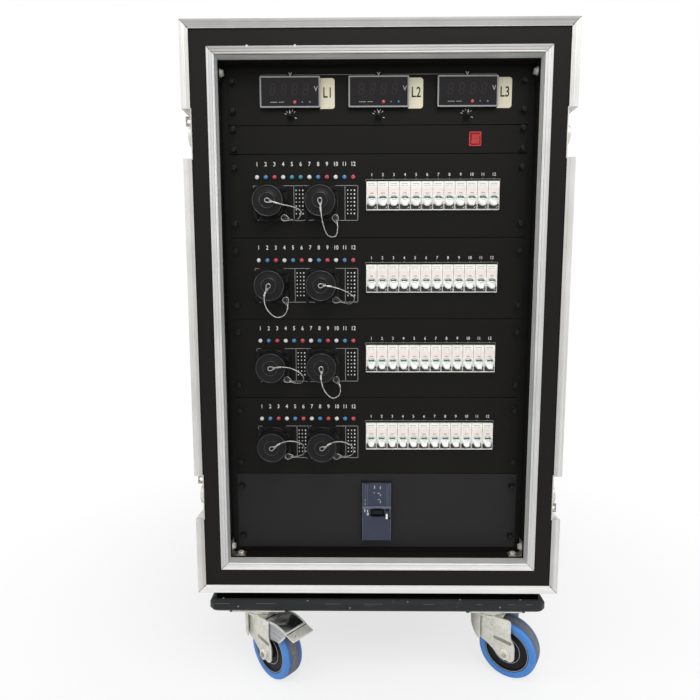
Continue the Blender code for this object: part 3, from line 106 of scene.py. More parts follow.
# Lamps: name, place, point aimed at, size and power
LAMPS = (
    ("light_top", (0.3, -1.9, 2.9), (0, -0.1, 0.6), 1.9, 34),
    ("light_left", (-2.6, -1.3, 1.5), (0, -0.2, 0.55), 1.5, 17),
    ("light_right", (2.6, -1.1, 1.2), (0, -0.2, 0.55), 1.5, 12),
    ("light_back", (0.6, 2.6, 2.4), (0, 0, 0.5), 1.6, 13),
)

# Casters: swivel axis, and the direction in which the wheel trails, in degrees
CASTERS = {
    "front_left": (-0.203, -0.250, -43),
    "front_right": (0.203, -0.250, -33),
    "rear_right": (0.203, 0.250, 137),
    "rear_left": (-0.203, 0.250, 147),
}
BRAKED = ("front_left", "rear_right")

# Lanyard routes from the cap's post to the flange screw, in millimetres right of,
# in front of (from the panel's face) and above the cap's centre
LANYARD_ROUTES = {
    "outlet_1_left": ((3.8, 37, -1), (24, 38, -7), (43, 36, -11), (53, 31, -17), (47, 21, -27), (36, 10, -27)),
    "outlet_1_right": ((0.5, 37, -3.8), (2, 38, -20), (5, 34, -38), (12, 27, -54), (24, 19, -54), (27, 10, -38)),
    "outlet_2_left": ((-1.5, 37, -3.5), (-7, 38, -18), (-4, 35, -36), (9, 30, -50), (22, 21, -48), (27, 10, -36)),
    "outlet_2_right": ((3.8, 37, 0.5), (20, 38, -2), (40, 37, -9), (54, 30, -19), (48, 18, -29), (36, 9, -27)),
    "outlet_3_left": ((3.8, 37, 0.5), (20, 39, 3), (39, 38, -1), (53, 31, -13), (50, 19, -26), (37, 9, -28)),
    "outlet_3_right": ((0.5, 37, -3.8), (0, 38, -19), (6, 36, -38), (18, 30, -50), (29, 20, -46), (30, 10, -34)),
    "outlet_4_left": ((3.4, 37, 1.6), (18, 39, 11), (36, 38, 13), (52, 32, 5), (52, 19, -13), (38, 9, -22)),
    "outlet_4_right": ((3.4, 37, 1.6), (18, 39, 11), (35, 38, 12), (50, 32, 3), (51, 19, -14), (38, 9, -22)),
}

# Where the centres of the left and right caps stand
CAP_X = {"left": -175 * MM, "right": -92 * MM}


def tone(red, green, blue):
    """A colour as it looks on screen, 0 to 255, made linear."""
    linear = []
    for level in (red, green, blue):
        share = level / 255
        linear.append(share / 12.92 if share <= 0.04045 else ((share + 0.055) / 1.055) ** 2.4)
    return tuple(linear)


# Shader and geometry trees


class Value:
    """A socket in a node tree that takes part in Python sums."""

    def __init__(self, tree, socket):
        self.tree = tree
        self.socket = socket

    def sum(self, operation, first, second):
        """A Math node on two values."""
        return self.tree.add("ShaderNodeMath", {"operation": operation}, {0: first, 1: second})

    def __add__(self, other):
        return self.sum("ADD", self, other)

    def __radd__(self, other):
        return self.sum("ADD", other, self)

    def __sub__(self, other):
        return self.sum("SUBTRACT", self, other)

    def __rsub__(self, other):
        return self.sum("SUBTRACT", other, self)

    def __mul__(self, other):
        return self.sum("MULTIPLY", self, other)

    def __rmul__(self, other):
        return self.sum("MULTIPLY", other, self)

    def __truediv__(self, other):
        return self.sum("DIVIDE", self, other)

    def __rtruediv__(self, other):
        return self.sum("DIVIDE", other, self)


class Tree:
    """A node tree that is filled by expressions."""

    def __init__(self, nodes_of):
        self.nodes = nodes_of.nodes
        self.links = nodes_of.links
        self.nodes.clear()

    def add(self, kind, settings=None, sockets=None, out=0):
        """Adds a node: its settings first, then values or links of its sockets; gives one output."""
        made = self.nodes.new(kind)
        for name, value in (settings or {}).items():
            if name == "stops":
                for stop, (place, colour) in zip(self.ramp_stops(made, len(value)), value):
                    stop.position = place
                    stop.color = (*colour, 1.0)
            else:
                setattr(made, name, value)
        for name, value in (sockets or {}).items():
            if isinstance(value, Value):
                self.links.new(value.socket, made.inputs[name])
            else:
                made.inputs[name].default_value = value
        return Value(self, made.outputs[out]) if len(made.outputs) else made

    @staticmethod
    def ramp_stops(node, count):
        """The stops of a colour ramp, as many as asked for."""
        while len(node.color_ramp.elements) < count:
            node.color_ramp.elements.new(1.0)
        return node.color_ramp.elements

    def object_space(self):
        """The object's own coordinates."""
        return self.add("ShaderNodeTexCoord", out="Object")

    def grain_space(self):
        """The layer that runs along each bar."""
        return self.add("ShaderNodeUVMap", {"uv_map": "grain"})

    def stretched(self, space, scale):
        """Coordinates with a scale for each axis."""
        return self.add("ShaderNodeMapping", {}, {"Vector": space, "Scale": scale})

    def noise(self, space, scale, detail=2.0, roughness=0.5):
        """Cloudy noise, 0 to 1."""
        sockets = {"Vector": space, "Scale": scale, "Detail": detail, "Roughness": roughness}
        return self.add("ShaderNodeTexNoise", {}, sockets)

    def cells(self, space, scale, out="Distance"):
        """Voronoi cells: the distance to their centres, or a colour for each."""
        return self.add("ShaderNodeTexVoronoi", {"feature": "F1"}, {"Vector": space, "Scale": scale}, out)

    def between(self, value, low, high, to_low=0.0, to_high=1.0):
        """The value's share between low and high, eased, as a number from to_low to to_high."""
        return self.add(
            "ShaderNodeMapRange",
            {"interpolation_type": "SMOOTHSTEP"},
            {"Value": value, "From Min": low, "From Max": high, "To Min": to_low, "To Max": to_high},
        )

    def mixed(self, share, first, second):
        """A colour between two colours."""
        colours = [c if isinstance(c, Value) else (*c, 1.0) for c in (first, second)]
        sockets = {0: share, 6: colours[0], 7: colours[1]}
        return self.add("ShaderNodeMix", {"data_type": "RGBA"}, sockets, 2)

    def bump(self, height, strength, distance):
        """A normal that stands for small heights."""
        return self.add("ShaderNodeBump", {}, {"Height": height, "Strength": strength, "Distance": distance})


def surface(name, make, **constants):
    """A material whose varying sockets come from make(tree) and whose even ones are set as given."""
    made = bpy.data.materials.new(name)
    made.use_nodes = True
    tree = Tree(made.node_tree)
    sockets = make(tree)
    for socket, value in constants.items():
        sockets[socket.replace("_", " ")] = value
    shader = tree.add("ShaderNodeBsdfPrincipled", {}, sockets)
    tree.add("ShaderNodeOutputMaterial", {"target": "ALL"}, {"Surface": shader})
    return made


def shader(look):
    """Takes a look's colours and numbers now, and its tree later, when a material is made."""
    return lambda *settings: lambda tree: look(tree, *settings)


@shader
def painted(tree, colour, scratch, roughness=0.45, pebble=1400, depth=0.06, scratches=0.35):
    """Textured paint or laminate: fine pebbles, faint smudges and a few light scratches."""
    space = tree.object_space()
    smudge = tree.noise(space, 9, 3)
    drift = tree.noise(space, 1.7, 1)
    pebbles = tree.cells(space, pebble)
    marks = tree.noise(tree.stretched(space, (60, 60, 420)), 1, 2, 0.7)
    worn = tree.between(marks, 0.71, 0.78) * tree.between(smudge, 0.52, 0.68) * scratches
    base = tree.mixed(drift, tuple(c * 0.8 for c in colour), tuple(c * 1.25 for c in colour))
    height = pebbles * 0.7 + tree.noise(space, pebble * 0.35) * 0.5
    return {
        "Base Color": tree.mixed(worn, base, scratch),
        "Roughness": smudge * 0.22 + (roughness - 0.11),
        "Normal": tree.bump(height, 0.5, depth * MM),
    }


@shader
def moulded(tree, colour, roughness=0.4, depth=0.02):
    """Moulded plastic: a fine spark-eroded grain and slight changes of gloss."""
    space = tree.object_space()
    cloud = tree.noise(space, 34, 3)
    grain = tree.noise(space, 2600, 2)
    base = tree.mixed(cloud, tuple(c * 0.9 for c in colour), tuple(min(1, c * 1.08) for c in colour))
    return {
        "Base Color": base,
        "Roughness": cloud * 0.16 + grain * 0.08 + (roughness - 0.12),
        "Normal": tree.bump(grain, 0.4, depth * MM),
    }


@shader
def drawn_metal(tree, colour, shade, roughness=0.32, depth=0.012):
    """Extruded or rolled metal: fine lines along each bar, faint stains and handling marks."""
    lines = tree.noise(tree.stretched(tree.grain_space(), (6, 2600, 1)), 1, 3, 0.6)
    bands = tree.noise(tree.stretched(tree.grain_space(), (1.5, 340, 1)), 1, 2)
    space = tree.object_space()
    stain = tree.noise(space, 14, 4, 0.6)
    nick = tree.between(tree.noise(space, 210, 2, 0.7), 0.69, 0.73)
    share = tree.between(bands * 0.6 + stain * 0.4, 0.38, 0.62, 0.0, 0.8)
    return {
        "Base Color": tree.mixed(nick * 0.5, tree.mixed(share, shade, colour), shade),
        "Roughness": lines * 0.18 + stain * 0.14 + (roughness - 0.14),
        "Normal": tree.bump(lines - nick * 0.6, 0.35, depth * MM),
    }


@shader
def plated(tree, colour, shade, roughness=0.34):
    """Zinc-plated pressed steel: soft spangle, cloudy haze and fine scratches."""
    space = tree.object_space()
    spangle = tree.cells(space, 260, out="Color")
    cloud = tree.noise(space, 45, 4, 0.6)
    scratch = tree.between(tree.noise(tree.stretched(space, (900, 260, 90)), 1, 2, 0.7), 0.66, 0.74)
    shine = tree.add("ShaderNodeSeparateColor", {}, {"Color": spangle}, 0)
    share = tree.between(cloud * 0.7 + shine * 0.3, 0.3, 0.7)
    return {
        "Base Color": tree.mixed(scratch * 0.35, tree.mixed(share, shade, colour), shade),
        "Roughness": cloud * 0.2 + shine * 0.07 + scratch * 0.1 + (roughness - 0.14),
        "Normal": tree.bump(cloud + scratch * 0.4, 0.25, 0.03 * MM),
    }


@shader
def rubber(tree, colour, dust, dusty=0.3, roughness=0.5):
    """Elastic tyre rubber: fine grain, with dust and scuffs where it has rolled."""
    space = tree.object_space()
    patches = tree.noise(space, 75, 5, 0.65)
    grain = tree.noise(space, 1500, 2)
    dirt = tree.between(patches, 0.45, 0.72) * dusty
    return {
        "Base Color": tree.mixed(dirt, colour, dust),
        "Roughness": patches * 0.25 + (roughness - 0.1),
        "Normal": tree.bump(grain * 0.5 + patches, 0.4, 0.06 * MM),
    }


@shader
def worn_board(tree, colour, bare, scuff):
    """Painted board that has been wheeled about: chips to the wood, pale scuffs and dust."""
    space = tree.object_space()
    fibres = tree.noise(tree.stretched(space, (22, 420, 420)), 1, 4, 0.6)
    cloud = tree.noise(space, 24, 4, 0.6)
    chips = tree.between(tree.noise(space, 95, 5, 0.7), 0.69, 0.71)
    scrape = tree.between(tree.noise(tree.stretched(space, (28, 160, 520)), 1, 3, 0.75), 0.62, 0.75)
    scraped = scrape * tree.between(cloud, 0.4, 0.66) * 0.75
    paint = tree.mixed(cloud, tuple(c * 0.7 for c in colour), tuple(c * 1.3 for c in colour))
    return {
        "Base Color": tree.mixed(chips * 0.8, tree.mixed(scraped, paint, scuff), bare),
        "Roughness": cloud * 0.3 + fibres * 0.1 + 0.22,
        "Normal": tree.bump(fibres * 0.5 - chips * 0.7 + cloud * 0.4, 0.5, 0.18 * MM),
    }


@shader
def printed(tree, colour):
    """Screen-printed ink: nearly even, with slightly thinner patches."""
    thin = tree.noise(tree.object_space(), 900, 3)
    return {
        "Base Color": tree.mixed(tree.between(thin, 0.35, 0.65, 0.0, 0.3), colour, tuple(c * 0.6 for c in colour)),
        "Roughness": thin * 0.2 + 0.35,
        "Normal": tree.bump(thin, 0.3, 0.01 * MM),
    }


@shader
def lens(tree, colour, painted_glow):
    """A coloured lamp lens with a faint pattern of prisms inside and a faint painted glow, though the lamp is off."""
    space = tree.object_space()
    prisms = tree.cells(space, 1300)
    rim = tree.mixed(tree.between(prisms, 0.1, 0.7), colour, tuple(c * 0.55 for c in colour))
    return {
        "Base Color": rim,
        "Emission Color": rim,
        "Roughness": prisms * 0.1 + 0.16,
        "Normal": tree.bump(prisms, 0.2, 0.04 * MM),
        "Emission Strength": painted_glow,
    }


DARK = {"Specular_IOR_Level": 0.18}
DULL = {"Specular_IOR_Level": 0.13}

# Finishes whose colours are fixed: their look, and the sockets that stay even
FIXED_FINISHES = {
    "laminate": (painted(tone(25, 22, 19), tone(84, 82, 80), 0.46, 1000, 0.08, 0.3), DULL),
    "panel_powder": (painted(tone(17, 16, 14), tone(72, 70, 68), 0.5, 1900, 0.05, 0.25), DULL),
    # the main panel's powder, lighter than the other panels'
    "panel_main_lighter": (painted(tone(36, 37, 36), tone(84, 84, 82), 0.46, 1900, 0.05, 0.25), DULL),
    "rack_paint": (painted(tone(20, 20, 20), tone(86, 86, 86), 0.38, 1200, 0.05, 0.5), DARK),
    "aluminium": (drawn_metal(tone(222, 221, 219), tone(201, 201, 201), 0.36), {"Metallic": 0.55}),
    # The next four finishes are one aluminium in lit and shaded copies: painted light on the uprights' outer band,
    # painted shade on the top bars, painted light on the bottom bars, and painted shade on the uprights' sloping band.
    "aluminium_upright_painted_light": (drawn_metal(tone(226, 225, 222), tone(206, 205, 202), 0.32), {"Metallic": 0.65}),
    "aluminium_top_painted_shade": (drawn_metal(tone(178, 176, 173), tone(160, 159, 157), 0.34), {"Metallic": 0.7}),
    "aluminium_bottom_painted_light": (drawn_metal(tone(242, 241, 238), tone(228, 227, 224), 0.36), {"Metallic": 0.4}),
    "aluminium_slope_painted_shade": (drawn_metal(tone(206, 205, 201), tone(186, 185, 181), 0.38), {"Metallic": 0.6}),
    "aluminium_shade": (drawn_metal(tone(150, 149, 143), tone(128, 127, 121), 0.42), {"Metallic": 0.9}),
    "lip_shade": (drawn_metal(tone(222, 223, 220), tone(204, 206, 204), 0.45), {"Metallic": 0.25}),
    "black_plastic": (moulded(tone(21, 21, 22), 0.34), DARK),
    "black_gloss": (moulded(tone(16, 16, 18), 0.2, 0.006), {**DARK, "Coat_Weight": 0.15}),
    # painted highlight: the paler beads on the caps' rims
    "rim_painted_highlight": (moulded(tone(50, 50, 53), 0.2, 0.004), {"Coat_Weight": 0.5}),
    "meter_grey": (moulded(tone(150, 149, 150), 0.36), {}),
    "meter_window": (moulded(tone(22, 19, 22), 0.14, 0.003), {**DARK, "Coat_Weight": 0.12}),
    "segment_dim": (moulded(tone(50, 42, 45), 0.2, 0.003), DARK),
    "breaker_white": (moulded(tone(242, 242, 236), 0.34), {}),
    "breaker_tint": (moulded(tone(241, 228, 222), 0.38), {}),
    "lever_white": (moulded(tone(247, 249, 245), 0.3), {}),
    "lever_green": (moulded(tone(24, 84, 64), 0.4), {}),
    "mark_brown": (printed(tone(150, 116, 104)), {}),
    "mark_grey": (printed(tone(168, 176, 164)), {}),
    # painted shade: the grey in the recess under each breaker lever and on the rod through the levers
    "recess_painted_shade": (moulded(tone(58, 60, 56), 0.5), {}),
    "navy_plastic": (moulded(tone(52, 57, 76), 0.34), {"Specular_IOR_Level": 0.3}),
    "navy_edge": (moulded(tone(88, 93, 112), 0.3), {}),
    "label_cream": (moulded(tone(226, 219, 192), 0.42), {}),
    "ink_black": (printed(tone(22, 18, 16)), DARK),
    # painted shadow: the black strip on the board under the case's edge
    "painted_shadow_black": (printed(tone(7, 6, 6)), {"Specular_IOR_Level": 0.0}),
    "screw_black": (painted(tone(19, 19, 20), tone(90, 90, 90), 0.32, 2200, 0.03, 0.4), DARK),
    "zinc": (plated(tone(230, 229, 220), tone(212, 211, 201)), {"Metallic": 0.5}),
    "zinc_dull": (plated(tone(190, 186, 172), tone(146, 140, 126), 0.45), {"Metallic": 0.85}),
    "slot_steel": (plated(tone(92, 88, 82), tone(60, 57, 53), 0.4), {"Metallic": 0.7}),
    "polished_steel": (drawn_metal(tone(210, 212, 214), tone(160, 163, 166), 0.2, 0.006), {"Metallic": 1.0}),
    "wire": (drawn_metal(tone(214, 214, 210), tone(150, 150, 146), 0.34), {"Metallic": 0.9}),
    "sleeve": (plated(tone(214, 212, 204), tone(170, 168, 160), 0.3), {"Metallic": 0.9}),
    "tread": (rubber(tone(104, 101, 96), tone(150, 144, 132), 0.6, 0.62), {}),
    "tread_edge": (rubber(tone(70, 94, 136), tone(112, 114, 116), 0.5, 0.55), {}),
    "hub_black": (moulded(tone(26, 26, 28), 0.36), DARK),
    "hub_ring": (moulded(tone(172, 172, 176), 0.32), {}),
    "board_paint": (worn_board(tone(40, 42, 43), tone(104, 96, 86), tone(116, 118, 118)), DARK),
    "scuff": (printed(tone(88, 90, 91)), {}),
    "slot_grey": (plated(tone(158, 156, 148), tone(128, 126, 119), 0.45), {"Metallic": 0.3}),
    # painted shade: the board's bevel in a darker copy of its paint
    "board_bevel_painted_shade": (worn_board(tone(33, 36, 37), tone(104, 96, 86), tone(112, 114, 114)), DARK),
}

# The materials made so far
FINISHES = {}


def finish(name):
    """The material of that name, made at first use."""
    if name not in FINISHES:
        FINISHES[name] = make_finish(name)
    return FINISHES[name]


def make_finish(name):
    """Makes one of the object's finishes, from the table or from the user's colours."""
    look = bpy.context.scene.power_box
    coloured = {
        "tyre_blue": (rubber(tuple(look.tyre_colour), tone(120, 150, 190), 0.22, 0.42), {}),
        "rocker_red": (moulded(tuple(look.rocker_colour), 0.24, 0.01), {"Coat_Weight": 0.3}),
        # The lamp lenses carry a faint painted glow, though the lamps are off.
        "lamp_white": (lens(tone(238, 238, 236), 0.12), {"Coat_Weight": 0.6}),
        "lamp_blue": (lens(tuple(look.lamp_blue), 0.1), {"Coat_Weight": 0.6}),
        "lamp_red": (lens(tuple(look.lamp_red), 0.1), {"Coat_Weight": 0.6}),
        "lamp_teal": (lens(tone(60, 150, 170), 0.1), {"Coat_Weight": 0.6}),
        "print_white": (printed(tuple(look.print_colour)), {}),
        "print_grey": (printed(tuple(c * 0.44 for c in look.print_colour)), {}),
    }
    make, constants = coloured.get(name) or FIXED_FINISHES[name]
    return surface(name, make, **constants)


# Shapes: each is a list of points and a list of faces


def mm(points):
    """Points given in millimetres, in metres."""
    return [tuple(number * MM for number in point) for point in points]


def box(low, high):
    """A box by its lowest and highest corners."""
    (x0, y0, z0), (x1, y1, z1) = low, high
    points = [(x, y, z) for z in (z0, z1) for x, y in ((x0, y0), (x1, y0), (x1, y1), (x0, y1))]
    faces = [(3, 2, 1, 0), (4, 5, 6, 7), (0, 1, 5, 4), (1, 2, 6, 5), (2, 3, 7, 6), (3, 0, 4, 7)]
    return points, faces


def block(centre, size):
    """A box by its centre and its size."""
    half = Vector(size) / 2
    return box(Vector(centre) - half, Vector(centre) + half)


def on_axis(axis, along, u, v):
    """A point by its distance along an axis and its place in the plane square to it."""
    return {"X": (along, u, v), "Y": (u, along, v), "Z": (u, v, along)}[axis]


def loft(rings, closed=False):
    """A skin over rings of equally many points, capped unless its last ring meets the first."""
    count = len(rings[0])
    points = [tuple(point) for ring in rings for point in ring]
    faces = []
    pairs = [(i, i + 1) for i in range(len(rings) - 1)]
    if closed:
        pairs.append((len(rings) - 1, 0))
    for a, b in pairs:
        for i in range(count):
            j = (i + 1) % count
            faces.append((a * count + i, a * count + j, b * count + j, b * count + i))
    if not closed:
        faces.append(tuple(reversed(range(count))))
        faces.append(tuple(range((len(rings) - 1) * count, len(rings) * count)))
    return points, faces


def prism(axis, outline, start, end):
    """An outline in the plane square to an axis, drawn along it."""
    return loft([[on_axis(axis, along, u, v) for u, v in outline] for along in (start, end)])


def lathe(axis, profile, sides, centre=(0, 0, 0), start=0.0, sign=1, ring=False):
    """A profile of (radius, distance from start) in millimetres, turned about an axis.

    The sign says which way the distances run; a ring joins the profile's ends.
    """
    rings = []
    for radius, distance in profile:
        along = start + sign * distance * MM
        circle = []
        for i in range(sides):
            angle = 2 * math.pi * (i + 0.5) / sides
            place = on_axis(axis, along, radius * MM * math.cos(angle), radius * MM * math.sin(angle))
            circle.append(tuple(Vector(place) + Vector(centre)))
        rings.append(circle)
    return loft(rings, closed=ring)


def bezel(outer, inner, back, front):
    """A flat frame between two outlines of equally many points, from its back to its front."""
    levels = ((outer, back), (outer, front), (inner, front), (inner, back))
    return loft([[(u, y, v) for u, v in outline] for outline, y in levels], closed=True)


def tube(points, radius, sides=10, closed=False):
    """A round wire along points."""
    points = [Vector(point) for point in points]
    count = len(points)
    normal = None
    rings = []
    for i, point in enumerate(points):
        before = points[i - 1] if closed or i else point
        after = points[(i + 1) % count] if closed or i < count - 1 else point
        tangent = (after - before).normalized()
        if normal is None:
            normal = tangent.orthogonal().normalized()
        normal = (normal - tangent * normal.dot(tangent)).normalized()
        side = tangent.cross(normal)
        turns = [2 * math.pi * k / sides for k in range(sides)]
        rings.append([point + radius * (math.cos(t) * normal + math.sin(t) * side) for t in turns])
    return loft(rings, closed=closed)


def arc(centre, radius, first, last, steps):
    """Points of an arc, its angles in degrees."""
    angles = [math.radians(first + (last - first) * i / steps) for i in range(steps + 1)]
    return [(centre[0] + radius * math.cos(a), centre[1] + radius * math.sin(a)) for a in angles]


def rounded_outline(width, height, radius, steps=5, centre=(0, 0)):
    """A rectangle with rounded corners; radius is one number, or four from the lower right corner on."""
    radii = radius if isinstance(radius, (list, tuple)) else [radius] * 4
    outline = []
    for turn, (sx, sz), r in zip((270, 0, 90, 180), ((1, -1), (1, 1), (-1, 1), (-1, -1)), radii):
        middle = (centre[0] + sx * (width / 2 - r), centre[1] + sz * (height / 2 - r))
        outline += arc(middle, r, turn, turn + 90, steps) if r else [middle]
    return outline


def capsule(start, end, radius, steps=8):
    """The outline round a straight slot."""
    angle = math.degrees(math.atan2(end[1] - start[1], end[0] - start[0]))
    return arc(end, radius, angle - 90, angle + 90, steps) + arc(start, radius, angle + 90, angle + 270, steps)


def turned(outline, degrees):
    """An outline turned about the origin."""
    c, s = math.cos(math.radians(degrees)), math.sin(math.radians(degrees))
    return [(c * u - s * v, s * u + c * v) for u, v in outline]


def cleaned(shape, chamfer=0.0, rounds=1, merge=False):
    """The shape with its faces outwards and its sharp edges broken."""
    points, faces = shape
    bm = bmesh.new()
    made = [bm.verts.new(point) for point in points]
    for face in faces:
        bm.faces.new([made[i] for i in face])
    if merge:
        bmesh.ops.remove_doubles(bm, verts=bm.verts, dist=5e-6)
        bmesh.ops.dissolve_limit(bm, angle_limit=math.radians(1), verts=bm.verts, edges=bm.edges)
    bmesh.ops.recalc_face_normals(bm, faces=bm.faces)
    if chamfer:
        sharp = [e for e in bm.edges if len(e.link_faces) == 2 and e.calc_face_angle() > SHARP_ANGLE]
        settings = {"segments": rounds, "profile": 0.5, "affect": "EDGES", "clamp_overlap": True}
        bmesh.ops.bevel(bm, geom=sharp, offset=chamfer, **settings)
    bm.verts.ensure_lookup_table()
    bm.verts.index_update()
    result = ([vert.co.copy() for vert in bm.verts], [tuple(v.index for v in f.verts) for f in bm.faces])
    bm.free()
    return result


def mesh_shape(mesh, matrix=None):
    """A mesh's points and faces, in place."""
    matrix = matrix or Matrix()
    return [matrix @ v.co for v in mesh.vertices], [tuple(p.vertices) for p in mesh.polygons]


def cad_shape(node):
    """A copy of a CAD node's own shape, in the row frame."""
    source = frame["nodes"][node]
    return mesh_shape(source.data, source.matrix_world)


class Form:
    """One visible piece, put together from shapes that each have a finish."""

    def __init__(self):
        self.points = []
        self.faces = []
        self.slots = []
        self.grain = []
        self.finishes = []

    def add(self, shape, look, chamfer=0.0, rounds=1, place=None, merge=False, clean=True):
        """Adds a shape. Its grain runs along its longest side."""
        points, faces = cleaned(shape, chamfer, rounds, merge) if clean else shape
        low = [min(p[k] for p in points) for k in range(3)]
        high = [max(p[k] for p in points) for k in range(3)]
        along = max(range(3), key=lambda k: high[k] - low[k])
        first, second = [k for k in range(3) if k != along]
        grain = [(p[along], p[first] + 1.37 * p[second]) for p in points]
        if place is not None:
            points = [place @ Vector(p) for p in points]
        base = len(self.points)
        if look not in self.finishes:
            self.finishes.append(look)
        slot = self.finishes.index(look)
        self.points += [tuple(p) for p in points]
        for face in faces:
            self.faces.append(tuple(base + i for i in face))
            self.slots.append(slot)
            self.grain += [grain[i] for i in face]

    def copies(self, shape, look, places, chamfer=0.0, rounds=1, turn=(0, 0, 0)):
        """Adds a copy of a shape at each place."""
        self.add(repeated(cleaned(shape, chamfer, rounds), places, turn), look, clean=False)

    def build(self, name, body=CABINET, replaces=(), soften=38):
        """Makes the object, sets what it rides on and hides the CAD nodes it stands for."""
        mesh = bpy.data.meshes.new(name)
        mesh.from_pydata(self.points, [], self.faces)
        for look in self.finishes:
            mesh.materials.append(finish(look))
        mesh.polygons.foreach_set("material_index", self.slots)
        layer = mesh.uv_layers.new(name="grain")
        layer.data.foreach_set("uv", [number for pair in self.grain for number in pair])
        mesh.shade_smooth()
        mesh.set_sharp_from_angle(angle=math.radians(soften))
        mesh.update()
        made = bpy.data.objects.new(name, mesh)
        bpy.context.scene.collection.objects.link(made)
        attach(made, body)
        if replaces:
            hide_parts(*replaces)
        return made


def make_group(name, inputs):
    """An empty geometry tree with named inputs; gives its tree and what its inputs carry."""
    group = bpy.data.node_groups.new(name, "GeometryNodeTree")
    group.interface.new_socket("Geometry", in_out="INPUT", socket_type="NodeSocketGeometry")
    group.interface.new_socket("Geometry", in_out="OUTPUT", socket_type="NodeSocketGeometry")
    for label, kind in inputs.items():
        group.interface.new_socket(label, in_out="INPUT", socket_type=kind)
    tree = Tree(group)
    entry = group.nodes.new("NodeGroupInput")
    values = {socket.name: Value(tree, socket) for socket in entry.outputs if socket.name}
    return group, tree, values


def end_group(tree, shape, look):
    """Ends a geometry tree in real geometry with its material."""
    real = tree.add("GeometryNodeRealizeInstances", {}, {"Geometry": shape})
    coated = tree.add("GeometryNodeSetMaterial", {}, {"Geometry": real, "Material": look})
    tree.add("NodeGroupOutput", {}, {"Geometry": coated})


def run_group(source, group, settings):
    """Runs a geometry tree on an object and gives the result as a plain mesh."""
    bpy.context.scene.collection.objects.link(source)
    modifier = source.modifiers.new("Making", "NODES")
    modifier.node_group = group
    for item in group.interface.items_tree:
        if item.in_out == "INPUT" and item.name in settings:
            modifier[item.identifier] = settings[item.name]
    bpy.context.view_layer.update()
    graph = bpy.context.evaluated_depsgraph_get()
    result = bpy.data.meshes.new_from_object(source.evaluated_get(graph), depsgraph=graph)
    source.modifiers.remove(modifier)
    bpy.data.objects.remove(source, do_unlink=True)
    return result


def copies_group():
    """Copies of a piece on points: screws, rivets, lamps, breakers and printed marks."""
    inputs = {"Piece": "NodeSocketObject", "Turn": "NodeSocketVector", "Finish": "NodeSocketMaterial"}
    group, tree, value = make_group("copies_on_points", inputs)
    piece = tree.add("GeometryNodeObjectInfo", {"transform_space": "ORIGINAL"}, {"Object": value["Piece"]}, "Geometry")
    turn = tree.add("FunctionNodeEulerToRotation", {}, {"Euler": value["Turn"]})
    sockets = {"Points": value["Geometry"], "Instance": piece, "Rotation": turn}
    copies = tree.add("GeometryNodeInstanceOnPoints", {}, sockets)
    end_group(tree, copies, value["Finish"])
    return group


def repeated(shape, places, turn):
    """The shape at each of the places, as one shape."""
    if "copies_on_points" not in bpy.data.node_groups:
        copies_group()
    mesh = bpy.data.meshes.new("piece")
    mesh.from_pydata([tuple(p) for p in shape[0]], [], shape[1])
    piece = bpy.data.objects.new("piece", mesh)
    bpy.context.scene.collection.objects.link(piece)
    dots = bpy.data.meshes.new("places")
    dots.from_pydata([tuple(p) for p in places], [], [])
    settings = {"Piece": piece, "Turn": turn}
    result = run_group(bpy.data.objects.new("places", dots), bpy.data.node_groups["copies_on_points"], settings)
    bpy.data.objects.remove(piece, do_unlink=True)
    shape = mesh_shape(result)
    bpy.data.meshes.remove(result)
    return shape


def strand_group():
    """A twisted wire rope along a curve."""
    inputs = {
        "Diameter": "NodeSocketFloat",
        "Lay": "NodeSocketFloat",
        "Strands": "NodeSocketInt",
        "Step": "NodeSocketFloat",
        "Finish": "NodeSocketMaterial",
    }
    group, tree, value = make_group("twisted_wire", inputs)
    sockets = {"Curve": value["Geometry"], "Length": value["Step"]}
    path = tree.add("GeometryNodeResampleCurve", {"mode": "LENGTH"}, sockets)
    along = tree.add("GeometryNodeSplineParameter", out="Length")
    twist = along / value["Lay"] * (2 * math.pi)
    twisted = tree.add("GeometryNodeSetCurveTilt", {}, {"Curve": path, "Tilt": twist})
    radius = value["Diameter"] * 0.5
    sockets = {"Points": value["Strands"], "Inner Radius": radius * 0.84, "Outer Radius": radius}
    star = tree.add("GeometryNodeCurveStar", {}, sockets, "Curve")
    sockets = {"Curve": twisted, "Profile Curve": star, "Fill Caps": True}
    end_group(tree, tree.add("GeometryNodeCurveToMesh", {}, sockets), value["Finish"])
    return group


def lettering(text, size, x, y, z, look, form, width=1.0, weight=0.02):
    """Printed characters on a face that looks to the front, centred on x and z."""
    curve = bpy.data.curves.new("lettering", "FONT")
    curve.offset = weight * size
    curve.body = text
    curve.size = size
    curve.align_x = "CENTER"
    curve.align_y = "CENTER"
    curve.extrude = PRINT_HEIGHT / 2
    curve.resolution_u = 3
    holder = bpy.data.objects.new("lettering", curve)
    bpy.context.scene.collection.objects.link(holder)
    bpy.context.view_layer.update()
    graph = bpy.context.evaluated_depsgraph_get()
    mesh = bpy.data.meshes.new_from_object(holder.evaluated_get(graph), depsgraph=graph)
    bpy.data.objects.remove(holder, do_unlink=True)
    place = Matrix.Translation((x, y, z)) @ Matrix.Rotation(math.pi / 2, 4, "X") @ Matrix.Diagonal((width, 1, 1, 1))
    shape = cleaned(mesh_shape(mesh, place), merge=True)
    bpy.data.meshes.remove(mesh)
    form.add(shape, look, clean=False)


def line(form, x0, z0, x1, z1, thickness, face, look="print_white"):
    """A printed line on a face that looks to the front."""
    half = thickness / 2
    low = (min(x0, x1) - half, face - PRINT_HEIGHT, min(z0, z1) - half)
    high = (max(x0, x1) + half, face + PRINT_HEIGHT / 2, max(z0, z1) + half)
    form.add(box(low, high), look, clean=False)


def panel_middle(name):
    """The height of the middle of a panel or another CAD node."""
    low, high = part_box(name)
    return (low.z + high.z) / 2


# Stage


